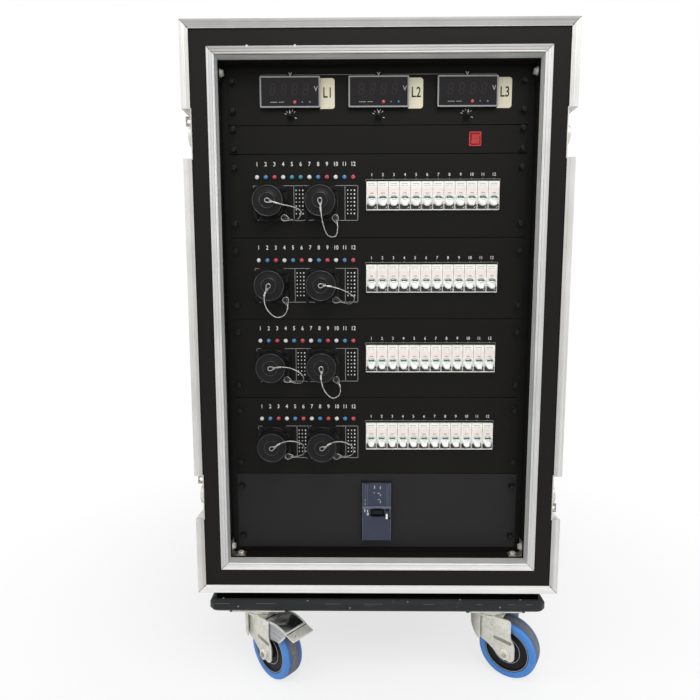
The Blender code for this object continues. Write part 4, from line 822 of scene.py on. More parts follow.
def make_stage(look):
    """The camera at the photograph's place, soft lights and a pale floor."""
    scene = bpy.context.scene
    scene.view_settings.view_transform = "Standard"
    lens_data = bpy.data.cameras.new("camera")
    lens_data.sensor_width = 36
    lens_data.lens = look.lens
    lens_data.clip_start = 0.05
    camera = bpy.data.objects.new("camera", lens_data)
    scene.collection.objects.link(camera)
    scene.camera = camera
    pitch, yaw, roll = (math.radians(angle) for angle in CAMERA_TURN)
    ahead = Vector((math.sin(yaw) * math.cos(pitch), math.cos(yaw) * math.cos(pitch), -math.sin(pitch)))
    right = Vector((math.cos(yaw), -math.sin(yaw), 0))
    up = right.cross(ahead)
    rolled_right = right * math.cos(roll) + up * math.sin(roll)
    rolled_up = up * math.cos(roll) - right * math.sin(roll)
    turn = Matrix((rolled_right, rolled_up, -ahead)).transposed().to_4x4()
    camera.matrix_world = Matrix.Translation(CAMERA_PLACE) @ turn
    make_lights(look)
    make_floor()


def make_lights(look):
    """The lamps, and a sky that is white where it is seen or mirrored and paler as a light."""
    scene = bpy.context.scene
    for name, place, aim, size, power in LAMPS:
        data = bpy.data.lights.new(name, "AREA")
        data.shape = "SQUARE"
        data.size = size
        data.energy = power * look.light
        lamp = bpy.data.objects.new(name, data)
        scene.collection.objects.link(lamp)
        lamp.location = place
        lamp.rotation_euler = (Vector(aim) - Vector(place)).to_track_quat("-Z", "Y").to_euler()
    world = scene.world or bpy.data.worlds.new("world")
    scene.world = world
    world.use_nodes = True
    tree = Tree(world.node_tree)
    plain = tree.add("ShaderNodeBackground", {}, {"Color": (1, 1, 1, 1), "Strength": 0.62})
    seen = tree.add("ShaderNodeBackground", {}, {"Color": (1, 1, 1, 1), "Strength": 1.0})
    direct = tree.add("ShaderNodeLightPath", out="Is Camera Ray")
    mirrored = tree.add("ShaderNodeLightPath", out="Is Glossy Ray")
    through = tree.add("ShaderNodeLightPath", out="Is Transmission Ray")
    seen_or_mirrored = tree.add("ShaderNodeMath", {"operation": "MAXIMUM"}, {0: direct, 1: mirrored})
    share = tree.add("ShaderNodeMath", {"operation": "MAXIMUM"}, {0: seen_or_mirrored, 1: through})
    mix = tree.add("ShaderNodeMixShader", {}, {0: share, 1: plain, 2: seen})
    tree.add("ShaderNodeOutputWorld", {}, {"Surface": mix})


def make_floor():
    """A pale floor that keeps the object's shadow and fades to white away from it."""
    mesh = bpy.data.meshes.new("floor")
    corners = [(x * FLOOR_REACH, y * FLOOR_REACH, 0) for x, y in ((-1, -1), (1, -1), (1, 1), (-1, 1))]
    mesh.from_pydata(corners, [], [(0, 1, 2, 3)])
    floor = bpy.data.objects.new("floor", mesh)
    bpy.context.scene.collection.objects.link(floor)
    made = bpy.data.materials.new("floor")
    made.use_nodes = True
    tree = Tree(made.node_tree)
    space = tree.object_space()
    far = tree.add("ShaderNodeVectorMath", {"operation": "LENGTH"}, {0: space}, "Value")
    paint = tree.mixed(tree.noise(space, 3, 3), (0.9, 0.9, 0.9), (0.94, 0.94, 0.94))
    matt = tree.add("ShaderNodeBsdfDiffuse", {}, {"Color": paint})
    white = tree.add("ShaderNodeEmission", {}, {"Color": (1, 1, 1, 1), "Strength": 1.0})
    direct = tree.add("ShaderNodeLightPath", out="Is Camera Ray")
    share = tree.between(far, 0.4, 1.1, 0.72, 1.0) * direct
    mix = tree.add("ShaderNodeMixShader", {}, {0: share, 1: matt, 2: white})
    tree.add("ShaderNodeOutputMaterial", {}, {"Surface": mix})
    mesh.materials.append(made)


# Lanyards


def smooth_route(route, step):
    """Points every step along a Catmull-Rom curve through the route's own points."""
    guides = [Vector(point) for point in route]
    guides = [2 * guides[0] - guides[1], *guides, 2 * guides[-1] - guides[-2]]
    points = [guides[1]]
    for before, start, end, after in zip(guides, guides[1:], guides[2:], guides[3:]):
        pieces = max(1, round((end - start).length / step))
        for i in range(1, pieces + 1):
            t = i / pieces
            square = (2 * before - 5 * start + 4 * end - after) * t**2
            cube = (3 * start - before - 3 * end + after) * t**3
            points.append(0.5 * (2 * start + (end - before) * t + square + cube))
    return points


def lanyard_points(name, centre):
    """The way of a lanyard from its cap's post to the screw of the flange."""
    route = [(centre[0] + x * MM, centre[1] - y * MM, centre[2] + z * MM) for x, y, z in LANYARD_ROUTES[name]]
    anchor = Vector((centre[0] + FLANGE_SCREW, centre[1] - 4 * MM, centre[2] - FLANGE_SCREW))
    away = Vector(route[-1]) - anchor
    away.y = 0
    route.append(anchor + Vector((0, -1.5 * MM, 0)) + away.normalized() * 4.5 * MM)
    return smooth_route(route, 5.8 * MM)


def point_along(points, distance):
    """The place and direction at a distance along a line of points."""
    for a, b in zip(points, points[1:]):
        step = (b - a).length
        if distance <= step:
            return a.lerp(b, distance / step), (b - a).normalized()
        distance -= step
    return points[-1], (points[-1] - points[-2]).normalized()


def eye(form, centre, ahead, radius, reach, wire):
    """The eye of a lanyard round a post or screw, closed towards the wire."""
    across = ahead.cross(Vector((0, 1, 0))).normalized()
    loop = []
    for degrees in range(62, 300, 14):
        angle = math.radians(degrees)
        loop.append(centre + radius * (math.cos(angle) * ahead + math.sin(angle) * across))
    last = centre + reach * ahead
    loop.append(last - 0.9 * MM * across)
    loop.append(last + 0.9 * MM * across)
    form.add(tube(loop, wire, 8, closed=True), "wire")


def sleeve(form, points, start, length, radius):
    """A pressed sleeve on the wire."""
    begin, _ = point_along(points, start)
    end, _ = point_along(points, start + length)
    middle, _ = point_along(points, start + length / 2)
    rings = [begin.lerp(middle, share) for share in (0, 0.12, 0.5)]
    rings += [middle.lerp(end, share) for share in (0, 0.5, 0.88, 1)]
    widths = (0.72, 1.0, 0.92, 1.0, 0.92, 1.0, 0.72)
    ahead = (end - begin).normalized()
    side = ahead.orthogonal().normalized()
    other = ahead.cross(side)
    circles = []
    for point, width in zip(rings, widths):
        turns = [2 * math.pi * k / 12 for k in range(12)]
        circles.append([point + radius * width * (math.cos(t) * side + math.sin(t) * other) for t in turns])
    form.add(loft(circles), "sleeve")


def make_lanyards(look):
    """Eight twisted steel lanyards, each with an eye and a pressed sleeve at both ends."""
    group = strand_group()
    diameter = look.wire_diameter
    for number in ROWS:
        middle = panel_middle(f"outlet_panel_{number}")
        for side in SIDES:
            name = f"outlet_{number}_{side}"
            centre = Vector((CAP_X[side], PANEL_FACE, middle - CAP_DROP))
            points = lanyard_points(name, centre)
            curve = bpy.data.curves.new(name, "CURVE")
            curve.dimensions = "3D"
            spline = curve.splines.new("POLY")
            spline.points.add(len(points) - 1)
            for target, point in zip(spline.points, points):
                target.co = (*point, 1.0)
            settings = {
                "Diameter": diameter,
                "Lay": look.wire_lay,
                "Strands": 6,
                "Step": 0.9 * MM,
                "Finish": finish("wire"),
            }
            mesh = run_group(bpy.data.objects.new(name, curve), group, settings)
            ends = Form()
            post = centre + Vector((0, -POST_DEPTH, 0))
            ahead = (points[0] - post).normalized()
            eye(ends, post, ahead, radius=3.2 * MM, reach=8.6 * MM, wire=0.75 * MM)
            sleeve(ends, points, start=6.5 * MM, length=8 * MM, radius=1.7 * MM)
            anchor = Vector((centre.x + FLANGE_SCREW, points[-1].y, centre.z - FLANGE_SCREW))
            back = (points[-1] - anchor).normalized()
            eye(ends, anchor, back, radius=4.9 * MM, reach=9.0 * MM, wire=0.7 * MM)
            length = sum((b - a).length for a, b in zip(points, points[1:]))
            sleeve(ends, points, start=length - 12 * MM, length=7.5 * MM, radius=1.7 * MM)
            fittings = ends.build(f"{name}_lanyard_ends")
            form = Form()
            form.add(mesh_shape(mesh), "wire", clean=False)
            bpy.data.meshes.remove(mesh)
            rope = form.build(f"{name}_rope", replaces=[f"{name}_lanyard"], soften=75)


# Case


def ring_at(profile, x, z, sx, sz):
    """A profile of (inwards, y) at a mitred corner, or at a square cut where a sign is 0."""
    return [(x + sx * u * MM, y, z + sz * u * MM) for u, y in profile]


def bars_round(form, low, high, profiles, looks, gap, breaks=()):
    """Four mitred bars round a rectangle, with a profile and a look each for top, sides and bottom.

    The upright bars are broken at the heights given.
    """
    x0, z0, x1, z1 = low.x, low.z, high.x, high.z
    top, sides, bottom = profiles
    for profile, look, z, sz in ((bottom, looks[2], z0, 1), (top, looks[0], z1, -1)):
        rings = [ring_at(profile, x0 + gap, z, 1, sz), ring_at(profile, x1 - gap, z, -1, sz)]
        form.add(loft(rings), look)
    for x, sx in ((x0, 1), (x1, -1)):
        start = ring_at(sides, x, z0 + gap, sx, 1)
        for lower, upper in breaks:
            form.add(loft([start, ring_at(sides, x, lower, sx, 0)]), looks[1])
            start = ring_at(sides, x, upper, sx, 0)
        form.add(loft([start, ring_at(sides, x, z1 - gap, sx, -1)]), looks[1])


def mitre_lines(form, low, high, reach, y0, y1):
    """The dark joints between the bars, from each outer corner inwards."""
    for x, sx in ((low.x, 1), (high.x, -1)):
        for z, sz in ((low.z, 1), (high.z, -1)):
            half = 0.55 * MM
            start, end = 0.6 * MM, reach
            outline = [
                (x + sx * (start + half), z + sz * (start - half)),
                (x + sx * (end + half), z + sz * (end - half)),
                (x + sx * (end - half), z + sz * (end + half)),
                (x + sx * (start - half), z + sz * (start + half)),
            ]
            form.add(prism("Y", outline, y0, y1), "ink_black")


def make_case(look):
    """The laminated case, its aluminium edge angles with their rivets, and the opening's frame."""
    shell = Form()
    shell.add(cad_shape("case_shell"), "laminate", look.chamfer, merge=True)
    shell.build("case_laminate", replaces=["case_shell"])
    make_edges()
    make_opening_frame()


def notch_heights():
    """Lower and upper end of the catch notches in an upright edge."""
    spans = []
    for name in ("left_bottom_catch", "left_top_catch"):
        pivot = frame_joint(f"{name}_turn")
        spans.append((pivot.z - NOTCH_HALF, pivot.z + NOTCH_HALF))
    return spans


def frame_joint(name):
    """Where a joint of the frame has its axis."""
    found = next(joint for joint in frame["joints"] if joint["name"] == name)
    return Vector(found["pos_m"])


def spread(low, high, margin, count):
    """Evenly spaced places between low and high, a margin inside both."""
    return [low + margin + (high - low - 2 * margin) * i / (count - 1) for i in range(count)]


def make_edges():
    """The edge angles: the CAD angle with a raised outer band, a sloping inner band, beads and rivets."""
    form = Form()
    form.add(cad_shape("edge_angles"), "aluminium", 0.3 * MM, merge=True)
    front = CASE_LOW.y
    outer, inner = [], []
    for split in (5.2, 8.2, 9.0):
        step = [(0.0, 1.0), (0.0, -0.5), (0.6, -1.2), (split - 0.5, -1.2), (split, -0.9), (split, 1.0)]
        slope = [(split - 0.1, 1.0), (split - 0.1, -0.8), (13.3, 0.1), (13.3, 1.0)]
        outer.append([(u, front + y * MM) for u, y in step])
        inner.append([(u, front + y * MM) for u, y in slope])
    breaks = notch_heights()
    # Each bar takes the copy of the aluminium painted for its light: painted shade on the top bars and the sloping
    # bands, painted light on the bottom bars and the uprights' outer bands.
    for profiles, upright in ((outer, "aluminium_upright_painted_light"), (inner, "aluminium_slope_painted_shade")):
        looks = ("aluminium_top_painted_shade", upright, "aluminium_bottom_painted_light")
        bars_round(form, CASE_LOW, CASE_HIGH, profiles, looks, 0.5 * MM, breaks)
    mitre_lines(form, CASE_LOW, CASE_HIGH, 12.5 * MM, front - 0.35 * MM, front + 0.5 * MM)
    make_edge_beads(form)
    rivet = lathe("Z", [(2.6, -0.2), (2.6, 0.15), (2.1, 0.7), (1.1, 1.0)], 12)
    quarter = math.pi / 2
    inset = 20 * MM
    x, y, z0, z1 = CASE_HIGH.x, CASE_HIGH.y, CASE_LOW.z, CASE_HIGH.z
    uprights = spread(z0, z1, 0.055, 7)
    levels = spread(-y, y, 0.075, 5)
    clear = [z for z in uprights if all(not a - NOTCH_CLEAR < z < b + NOTCH_CLEAR for a, b in breaks)]
    side_places = [(y - inset, zz) for zz in uprights] + [(-y + inset, zz) for zz in clear]
    side_places += [(yy, zz) for yy in levels for zz in (z0 + inset, z1 - inset)]
    for side in (1, -1):
        places = [(side * x, yy, zz) for yy, zz in side_places]
        form.copies(rivet, "aluminium_shade", places, turn=(0, side * quarter, 0))
    across = spread(-x, x, 0.06, 5)
    top = [(xx, yy, z1) for xx in (-x + inset, x - inset) for yy in levels]
    top += [(xx, yy, z1) for xx in across for yy in (y - inset, -y + inset)]
    form.copies(rivet, "aluminium_shade", top)
    near = 7 * MM
    back = [(xx, y, zz) for xx in (-x + near, x - near) for zz in uprights]
    back += [(xx, y, zz) for xx in across[1:-1] for zz in (z0 + near, z1 - near)]
    form.copies(rivet, "aluminium_shade", back, turn=(-quarter, 0, 0))
    form.build("case_edges", replaces=["edge_angles"])


def make_edge_beads(form):
    """A thin bead along the inner edge of each leg on the sides and top."""
    x, y, z0, z1 = CASE_HIGH.x, CASE_HIGH.y, CASE_LOW.z, CASE_HIGH.z
    leg, half, rise, gap = 29 * MM, 0.8 * MM, 0.5 * MM, 4 * MM

    def bead(low, high):
        form.add(box(low, high), "aluminium", 0.3 * MM)

    ends = [z0 + leg]
    for lower, upper in notch_heights():
        ends += [lower - gap, upper + gap]
    ends.append(z1 - leg)
    for side in (-1, 1):
        face = side * x
        low_x, high_x = sorted((face - side * MM, face + side * rise))
        for zz in (z0 + leg, z1 - leg):
            bead((low_x, -y + leg, zz - half), (high_x, y - leg, zz + half))
        bead((low_x, y - leg - half, z0 + leg), (high_x, y - leg + half, z1 - leg))
        for start, end in zip(ends[::2], ends[1::2]):
            bead((low_x, -y + leg - half, start), (high_x, -y + leg + half, end))
        a, b = sorted((side * (x - leg - half), side * (x - leg + half)))
        bead((a, -y + leg, z1 - MM), (b, y - leg, z1 + rise))
    for yy in (-y + leg, y - leg):
        bead((-x + leg, yy - half, z1 - MM), (x - leg, yy + half, z1 + rise))


def make_opening_frame():
    """The extruded frame round the opening, with its lines, its lip and two small rivets."""
    form = Form()
    front, back = FRAME_LOW.y, FRAME_HIGH.y
    steps = [(0, 0.9), (0, -0.4), (0.5, -1.0), (3.5, -1.0), (3.9, -0.5), (4.4, -0.5), (4.8, -1.0), (7.9, -1.0)]
    steps += [(8.3, -0.4), (8.9, -0.4), (9.4, -1.5), (10.2, -1.9), (11.5, -1.9), (12.2, -1.4), (12.5, -0.4)]
    steps.append((12.5, 0.9))
    face = [(u, front + y * MM) for u, y in steps]
    # The frame's top bar is in painted shade and its bottom bar in painted light; its uprights keep the plain
    # aluminium.
    bars_round(form, FRAME_LOW, FRAME_HIGH, [face] * 3, ("aluminium_top_painted_shade", "aluminium", "aluminium_bottom_painted_light"), 0.5 * MM)
    lip = [(11.0, front + 0.5 * MM), (12.5, front + 0.5 * MM), (12.5, back), (11.0, back)]
    bars_round(form, FRAME_LOW, FRAME_HIGH, [lip] * 3, ["lip_shade"] * 3, 0.1 * MM)
    mitre_lines(form, FRAME_LOW, FRAME_HIGH, 12.2 * MM, front - 0.25 * MM, front + 0.9 * MM)
    stud = lathe("Y", [(2.0, 0.4), (2.0, -0.6), (1.2, -1.3)], 12)
    places = [(x, front - 0.2 * MM, FRAME_HIGH.z - 0.5 * MM) for x in (-0.2005, -0.1275)]
    form.copies(stud, "aluminium", places)
    form.build("opening_trim", replaces=["opening_frame"])


# Rack


def rack_screws():
    """Places of the panel screws; their distance from a panel's middle goes by its units."""
    places = []
    rises = {1: 15.875 * MM, 2: 22.225 * MM, 3: 44.45 * MM}
    for name in ("meter_panel", "switch_panel", *OUTLET_PANELS, "main_panel"):
        low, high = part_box(name)
        rise = rises[round((high.z - low.z) / RACK_UNIT)]
        middle = (low.z + high.z) / 2
        for x in (low.x + 8.75 * MM, high.x - 8.75 * MM):
            places += [(x, PANEL_FACE, middle - rise), (x, PANEL_FACE, middle + rise)]
    return places


def make_rack():
    """The rack frame with its corner bolts, and the black screws of the panels on their washers."""
    form = Form()
    form.add(cad_shape("rack_frame"), "rack_paint", 0.25 * MM, merge=True)
    washer = lathe("Y", [(6.15, -0.1), (6.15, -1.3), (5.8, -1.6), (2, -1.6)], 24)
    head = lathe("Y", [(4.45, -1.5), (4.5, -4.6), (4.1, -6.2), (3.0, -6.7), (2.1, -6.75), (1.9, -5.2)], 18)
    places = rack_screws()
    form.copies(washer, "screw_black", places)
    form.copies(head, "screw_black", places)
    low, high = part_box("rack_frame")
    for side, x in ((-1, low.x), (1, high.x)):
        inner = x - side * 2 * MM
        for z in (low.z + 15 * MM, high.z - 15 * MM):
            centre = (0, PANEL_FACE - 7.5 * MM, z)
            form.add(lathe("X", [(6.6, 0), (6.6, 1), (3, 1)], 24, centre, inner, -side), "zinc")
            form.add(lathe("X", [(5.3, 0.8), (5.3, 4.6), (4.4, 5.2)], 6, centre, inner, -side), "zinc")
        near, far, floor = PANEL_FACE - 15 * MM, PANEL_FACE - 0.5 * MM, low.z + 0.1 * MM
        a, b = sorted((inner, inner - side * 22 * MM))
        form.add(box((a, near, floor), (b, far, floor + 1.6 * MM)), "zinc_dull", 0.3 * MM)
        a, b = sorted((inner + side * 0.2 * MM, inner - side * 0.4 * MM))
        form.add(box((a, near, floor + 1.5 * MM), (b, far, floor + 27 * MM)), "zinc_dull", 0.1 * MM)
        centre = (inner - side * 14 * MM, PANEL_FACE - 8 * MM, floor)
        form.add(lathe("Z", [(5.2, 1.5), (5.2, 4.8), (4.3, 5.5)], 6, centre), "zinc")
    form.build("rack_rails", replaces=["rack_frame"])


def make_panels():
    """The powder-coated rack panels with their sockets, lamps and print."""
    for name in ("meter_panel", "switch_panel", "main_panel", *OUTLET_PANELS):
        form = Form()
        # The main panel is a lighter powder than the other panels.
        form.add(cad_shape(name), "panel_main_lighter" if name == "main_panel" else "panel_powder", 0.35 * MM, merge=True)
        if name.startswith("outlet"):
            add_sockets(form, panel_middle(name))
            add_lamps(form, panel_middle(name), name.endswith("1"))
        if name == "switch_panel":
            add_rocker_bezel(form)
        form.build(f"{name}_plate", replaces=[name])
    make_print()


def add_sockets(form, middle):
    """The flange, gasket ring and screws of the two sockets."""
    gasket = [(27.4, -4.0), (27.4, -5.0), (26.8, -5.5), (26.2, -5.0), (26.2, -4.0)]
    head = lathe("Y", [(4.15, 0.1), (4.15, -1.8), (3.3, -3.1), (1.7, -3.3), (1.5, -2.0)], 16)
    z = middle - CAP_DROP
    for x in CAP_X.values():
        outline = rounded_outline(56.6 * MM, 56.6 * MM, 6 * MM, 6, (x, z))
        form.add(prism("Y", outline, FLANGE_FACE, PANEL_FACE - 0.05 * MM), "black_plastic", 0.6 * MM)
        form.add(lathe("Y", gasket, 48, (x, 0, z), PANEL_FACE, ring=True), "black_gloss")
        corners = [(x + sx * FLANGE_SCREW, PANEL_FACE - 4 * MM, z + sz * FLANGE_SCREW) for sx, sz in CORNERS]
        form.copies(head, "slot_steel", [corners.pop(2)])
        form.copies(head, "screw_black", corners)


def lamp_x(number):
    """Where a lamp of the row and its digit stand, counted from 0."""
    return (-196 + 14.2 * number) * MM


def add_lamps(form, middle, first):
    """Twelve indicator lamps in their black rims."""
    colours = ["lamp_white", "lamp_blue", "lamp_red"] * 4
    if first:
        colours[4] = colours[5] = "lamp_teal"
    dome = [(3.45, 0.5), (3.45, -1.6), (3.0, -2.4), (2.2, -2.95), (1.1, -3.2)]
    rim = [(4.5, 0.1), (4.5, -0.9), (4.1, -1.25), (3.4, -1.25), (3.4, 0.1)]
    places = [(lamp_x(i), PANEL_FACE, middle + 30.3 * MM) for i in range(PER_ROW)]
    shape = lathe("Y", dome, 16)
    for colour in sorted(set(colours)):
        form.copies(shape, colour, [place for place, own in zip(places, colours) if own == colour])
    form.copies(lathe("Y", rim, 16, ring=True), "black_plastic", places)


def add_rocker_bezel(form):
    """The red frame round the rocker switch."""
    pivot = frame_joint("power_rocker_tilt")
    x, z = pivot.x, pivot.z
    outer = rounded_outline(19.6 * MM, 22.6 * MM, 1.6 * MM, 4, (x, z))
    inner = rounded_outline(15.2 * MM, 17.8 * MM, 0.8 * MM, 4, (x, z))
    form.add(bezel(outer, inner, PANEL_FACE - 0.05 * MM, PANEL_FACE - 1.9 * MM), "rocker_red", 0.3 * MM)


def make_print():
    """Everything that is printed on the panels: lines, digits, ticks and tables."""
    form = Form()
    for name in OUTLET_PANELS:
        print_outlets(form, panel_middle(name))
        print_breakers(form, panel_middle(name))
    print_meters(form)
    form.build("panel_print")


def print_outlets(form, middle):
    """Digits over the lamps, and the legend round the two sockets with its tables of marks."""
    face, flange = PANEL_FACE, FLANGE_FACE
    for i in range(PER_ROW):
        lettering(str(i + 1), 9.4 * MM, lamp_x(i), face, middle + 50.8 * MM, "print_white", form, 0.86, 0.01)
    top, bottom = 17, -38.6
    strokes = (
        (-201.8, top, -196, top, face),
        (-155, top, -120.6, top, face),
        (-120.6, top, -112, top, face),
        (-69, top, -32.2, top, face),
        (-200.2, bottom, -194, bottom, flange - 0.3 * MM),
        (-151, bottom, -147, bottom, flange),
        (-146, bottom, -121, bottom, face),
        (-120, bottom, -104, bottom, flange),
        (-68, bottom, -64, bottom, flange),
        (-63, bottom, -32.2, bottom, face),
        (-136.5, bottom, -136.5, top, face),
        (-116.3, bottom, -116.3, bottom + 7, flange),
        (-116.3, 11, -116.3, 15.9, flange),
        (-53.1, bottom, -53.1, top, face),
        (-32.2, bottom, -32.2, top, face),
        (-201.8, 11, -201.8, 15.9, flange),
        (-200.2, bottom, -200.2, bottom + 7, flange - 0.3 * MM),
    )
    for x0, z0, x1, z1, level in strokes:
        line(form, x0 * MM, middle + z0 * MM, x1 * MM, middle + z1 * MM, 0.75 * MM, level, "print_grey")
    cells = [(i, j) for i in range(3) for j in range(7)]
    dashes = [(1, 3), (2, 5)]
    small = [cell for cell in cells if cell[0] < 2 and cell not in dashes]
    large = [cell for cell in cells if cell[0] == 2 and cell not in dashes]
    for first in (-132.9, -48.7):
        for width, height, wanted in ((1.5, 2.0, small), (2.0, 2.6, large), (2.6, 0.9, dashes)):
            mark = block((0, 0, 0), (width * MM, 2 * PRINT_HEIGHT, height * MM))
            places = [((first + 5.5 * i) * MM, face, middle + (9.6 - 6.2 * j) * MM) for i, j in wanted]
            form.copies(mark, "print_white", places)


def print_breakers(form, middle):
    """Digits over the breakers with their ticks and the bracket line."""
    face = PANEL_FACE
    level = middle + 26.4 * MM
    centres = [(-9.6 + 18 * i) * MM for i in range(PER_ROW)]
    for i, x in enumerate(centres):
        lettering(str(i + 1), 6.9 * MM, x, face, middle + 33.7 * MM, "print_white", form, 0.9, 0.008)
    tick = block((0, 0, 0), (0.7 * MM, 2 * PRINT_HEIGHT, 1.8 * MM))
    form.copies(tick, "print_grey", [(x, face, level + 0.9 * MM) for x in centres])
    line(form, -19.6 * MM, level, 198.4 * MM, level, 0.5 * MM, face, "print_grey")
    for x in (-19.6 * MM, 198.4 * MM):
        line(form, x, level - 3 * MM, x, level, 0.5 * MM, face, "print_grey")


def print_meters(form):
    """The line over the meters with its V marks, and the ticks round the selector knobs."""
    face = PANEL_FACE
    low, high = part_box("voltmeter_1")[0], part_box("voltmeter_3")[1]
    level = high.z + 4.2 * MM
    edges = [low.x + 1 * MM]
    for number in (1, 2, 3):
        first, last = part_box(f"voltmeter_{number}")
        x = (first.x + last.x) / 2
        lettering("V", 7.5 * MM, x, face, level + 0.4 * MM, "print_white", form)
        edges += [x - 5.5 * MM, x + 5.5 * MM]
    edges.append(high.x - 2 * MM)
    for start, end in zip(edges[::2], edges[1::2]):
        line(form, start, level, end, level, 0.5 * MM, face, "print_grey")
    for x in (edges[0], edges[-1]):
        line(form, x, level - 2.2 * MM, x, level, 0.5 * MM, face, "print_grey")
    tick = block((0, face - PRINT_HEIGHT / 2, 8.8 * MM), (0.8 * MM, PRINT_HEIGHT, 3.2 * MM))
    for number in (1, 2, 3):
        pivot = frame_joint(f"selector_{number}_turn")
        for degrees in (-68, -42, -12, 18, 46, 110):
            place = Matrix.Translation((pivot.x, 0, pivot.z)) @ Matrix.Rotation(math.radians(degrees), 4, "Y")
            form.add(tick, "print_white", place=place)


# Meters, knobs and switch


# The seven bars of a meter's digit: place and size in millimetres
SEGMENTS = [(0, v, 5.6, 1.5) for v in (8.0, 0.0, -8.0)]
SEGMENTS += [(u, v, 1.5, 6.2) for v in (4.0, -4.0) for u in (-3.4, 3.4)]


def make_meters():
    """Three digital voltmeters, each with its label plate."""
    for number in (1, 2, 3):
        low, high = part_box(f"voltmeter_{number}")
        form = Form()
        add_meter(form, low, high)
        form.build(f"voltmeter_{number}_face", replaces=[f"voltmeter_{number}"])
        label = Form()
        add_label(label, high, low, f"L{number}")
        label.build(f"label_{number}")


def add_meter(form, low, high):
    """A meter's housing, pale rim, dark window, unlit digits and status lamps."""
    middle = (low + high) / 2
    x, z, front = middle.x, middle.z, low.y
    width, height = high.x - low.x, high.z - low.z
    housing = rounded_outline(width - 0.4 * MM, height - 0.4 * MM, 1.4 * MM, 3, (x, z))
    form.add(prism("Y", housing, front + 1.3 * MM, PANEL_FACE - 0.2 * MM), "black_plastic", 0.3 * MM)
    body = block((x, PANEL_FACE + 30 * MM, z), (91 * MM, 59.6 * MM, 43.9 * MM))
    form.add(body, "black_plastic", 0.5 * MM)
    outer = rounded_outline(width, height, 1.8 * MM, 3, (x, z))
    inner = rounded_outline(width - 4.6 * MM, height - 4.6 * MM, 0.8 * MM, 3, (x, z))
    form.add(bezel(outer, inner, front + 1.8 * MM, front), "meter_grey", 0.35 * MM)
    window = block((x, front + 1.15 * MM, z), (width - 4.4 * MM, 0.7 * MM, height - 4.4 * MM))
    form.add(window, "meter_window")
    face = front + 0.8 * MM
    shear = math.tan(math.radians(8))
    for i in range(4):
        for u, v, w, h in SEGMENTS:
            outline = [(-w / 2, -h / 2), (w / 2, -h / 2), (w / 2, h / 2), (-w / 2, h / 2)]
            centre_x, centre_z = -27.5 + 17.6 * i + u, 3.5 + v
            points = [(x + (centre_x + a + (v + b) * shear) * MM, z + (centre_z + b) * MM) for a, b in outline]
            form.add(prism("Y", points, face - 0.1 * MM, face + 0.1 * MM), "segment_dim")
    lettering("V", 10.5 * MM, x + 41.2 * MM, face, z + 4.2 * MM, "meter_grey", form, 0.9)
    level = z - 15.6 * MM
    for u, look, radius in ((7.5, "lamp_red", 2.7), (19.5, "lamp_blue", 1.3), (31.5, "lamp_blue", 1.6)):
        dome = lathe("Y", [(radius, 0.2), (radius * 0.85, -0.5), (radius * 0.4, -0.8)], 16)
        form.copies(dome, look, [(x + u * MM, face, level)])
    for u in (-31, -27.8, -25, -22.4, -17.2, -14.4, -11.4):
        line(form, x + u * MM, level, x + (u + 1.3) * MM, level, 0.9 * MM, face, "mark_grey")


def add_label(form, high, low, text):
    """A cream plate to the right of a meter, with its phase."""
    width, height = 23.5 * MM, 47 * MM
    x = high.x - 0.6 * MM + width / 2
    z = (low.z + high.z) / 2 - 0.8 * MM
    outline = rounded_outline(width, height, [4.5 * MM, 4.5 * MM, 0.6 * MM, 0.6 * MM], 5, (x, z))
    form.add(prism("Y", outline, PANEL_FACE - 1.1 * MM, PANEL_FACE - 0.02 * MM), "label_cream", 0.25 * MM)
    lettering(text, 22.4 * MM, x + 0.6 * MM, PANEL_FACE - 1.1 * MM, z + 0.5 * MM, "ink_black", form, 0.72, 0.01)


def make_knobs():
    """The three selector knobs with their ribs, pointers and shafts."""
    profile = [(5.3, -0.6), (5.4, -1.2), (5.4, -2.6), (5.0, -3.2), (4.4, -3.5), (4.2, -9.6), (3.6, -10.7), (1.6, -11.0)]
    rib = block((0, 0, 0), (0.7 * MM, 5.6 * MM, 0.7 * MM))
    reach, depth = 4.25 * MM, PANEL_FACE - 6.6 * MM
    for number in (1, 2, 3):
        name = f"selector_knob_{number}"
        pivot = frame_joint(f"selector_{number}_turn")
        centre = (pivot.x, 0, pivot.z)
        form = Form()
        form.add(lathe("Y", profile, 32, centre, PANEL_FACE), "black_plastic")
        angles = [2 * math.pi * i / 12 for i in range(12)]
        ribs = [(pivot.x + reach * math.cos(angle), depth, pivot.z + reach * math.sin(angle)) for angle in angles]
        form.copies(rib, "black_plastic", ribs, 0.15 * MM)
        pointer = block((0, PANEL_FACE - 11.1 * MM, 2.3 * MM), (0.9 * MM, 0.5 * MM, 3.6 * MM))
        form.add(pointer, "print_white", 0.1 * MM, place=Matrix.Translation(centre))
        form.add(lathe("Y", [(2.4, -1), (2.4, 13.5)], 20, centre, PANEL_FACE), "zinc_dull")
        form.build(f"{name}_turned", name, [name])


def make_rocker():
    """The red rocker with its raised rib."""
    pivot = frame_joint("power_rocker_tilt")
    height = 7.6
    outline = [(-0.78, 1.0), (-0.62, 0.5), (-0.52, 0.0), (-0.56, -0.5), (-0.66, -1.0)]
    outline += [(0.38, -1.0), (0.86, -0.5), (0.86, 0.5), (0.38, 1.0)]
    points = [(pivot.y + u * height * MM, pivot.z + v * height * MM) for u, v in turned(outline, 8)]
    form = Form()
    form.add(prism("X", points, pivot.x - 6.8 * MM, pivot.x + 6.8 * MM), "rocker_red", 0.5 * MM, 2)
    form.build("power_rocker_cap", "power_rocker", ["power_rocker"])


# Socket caps


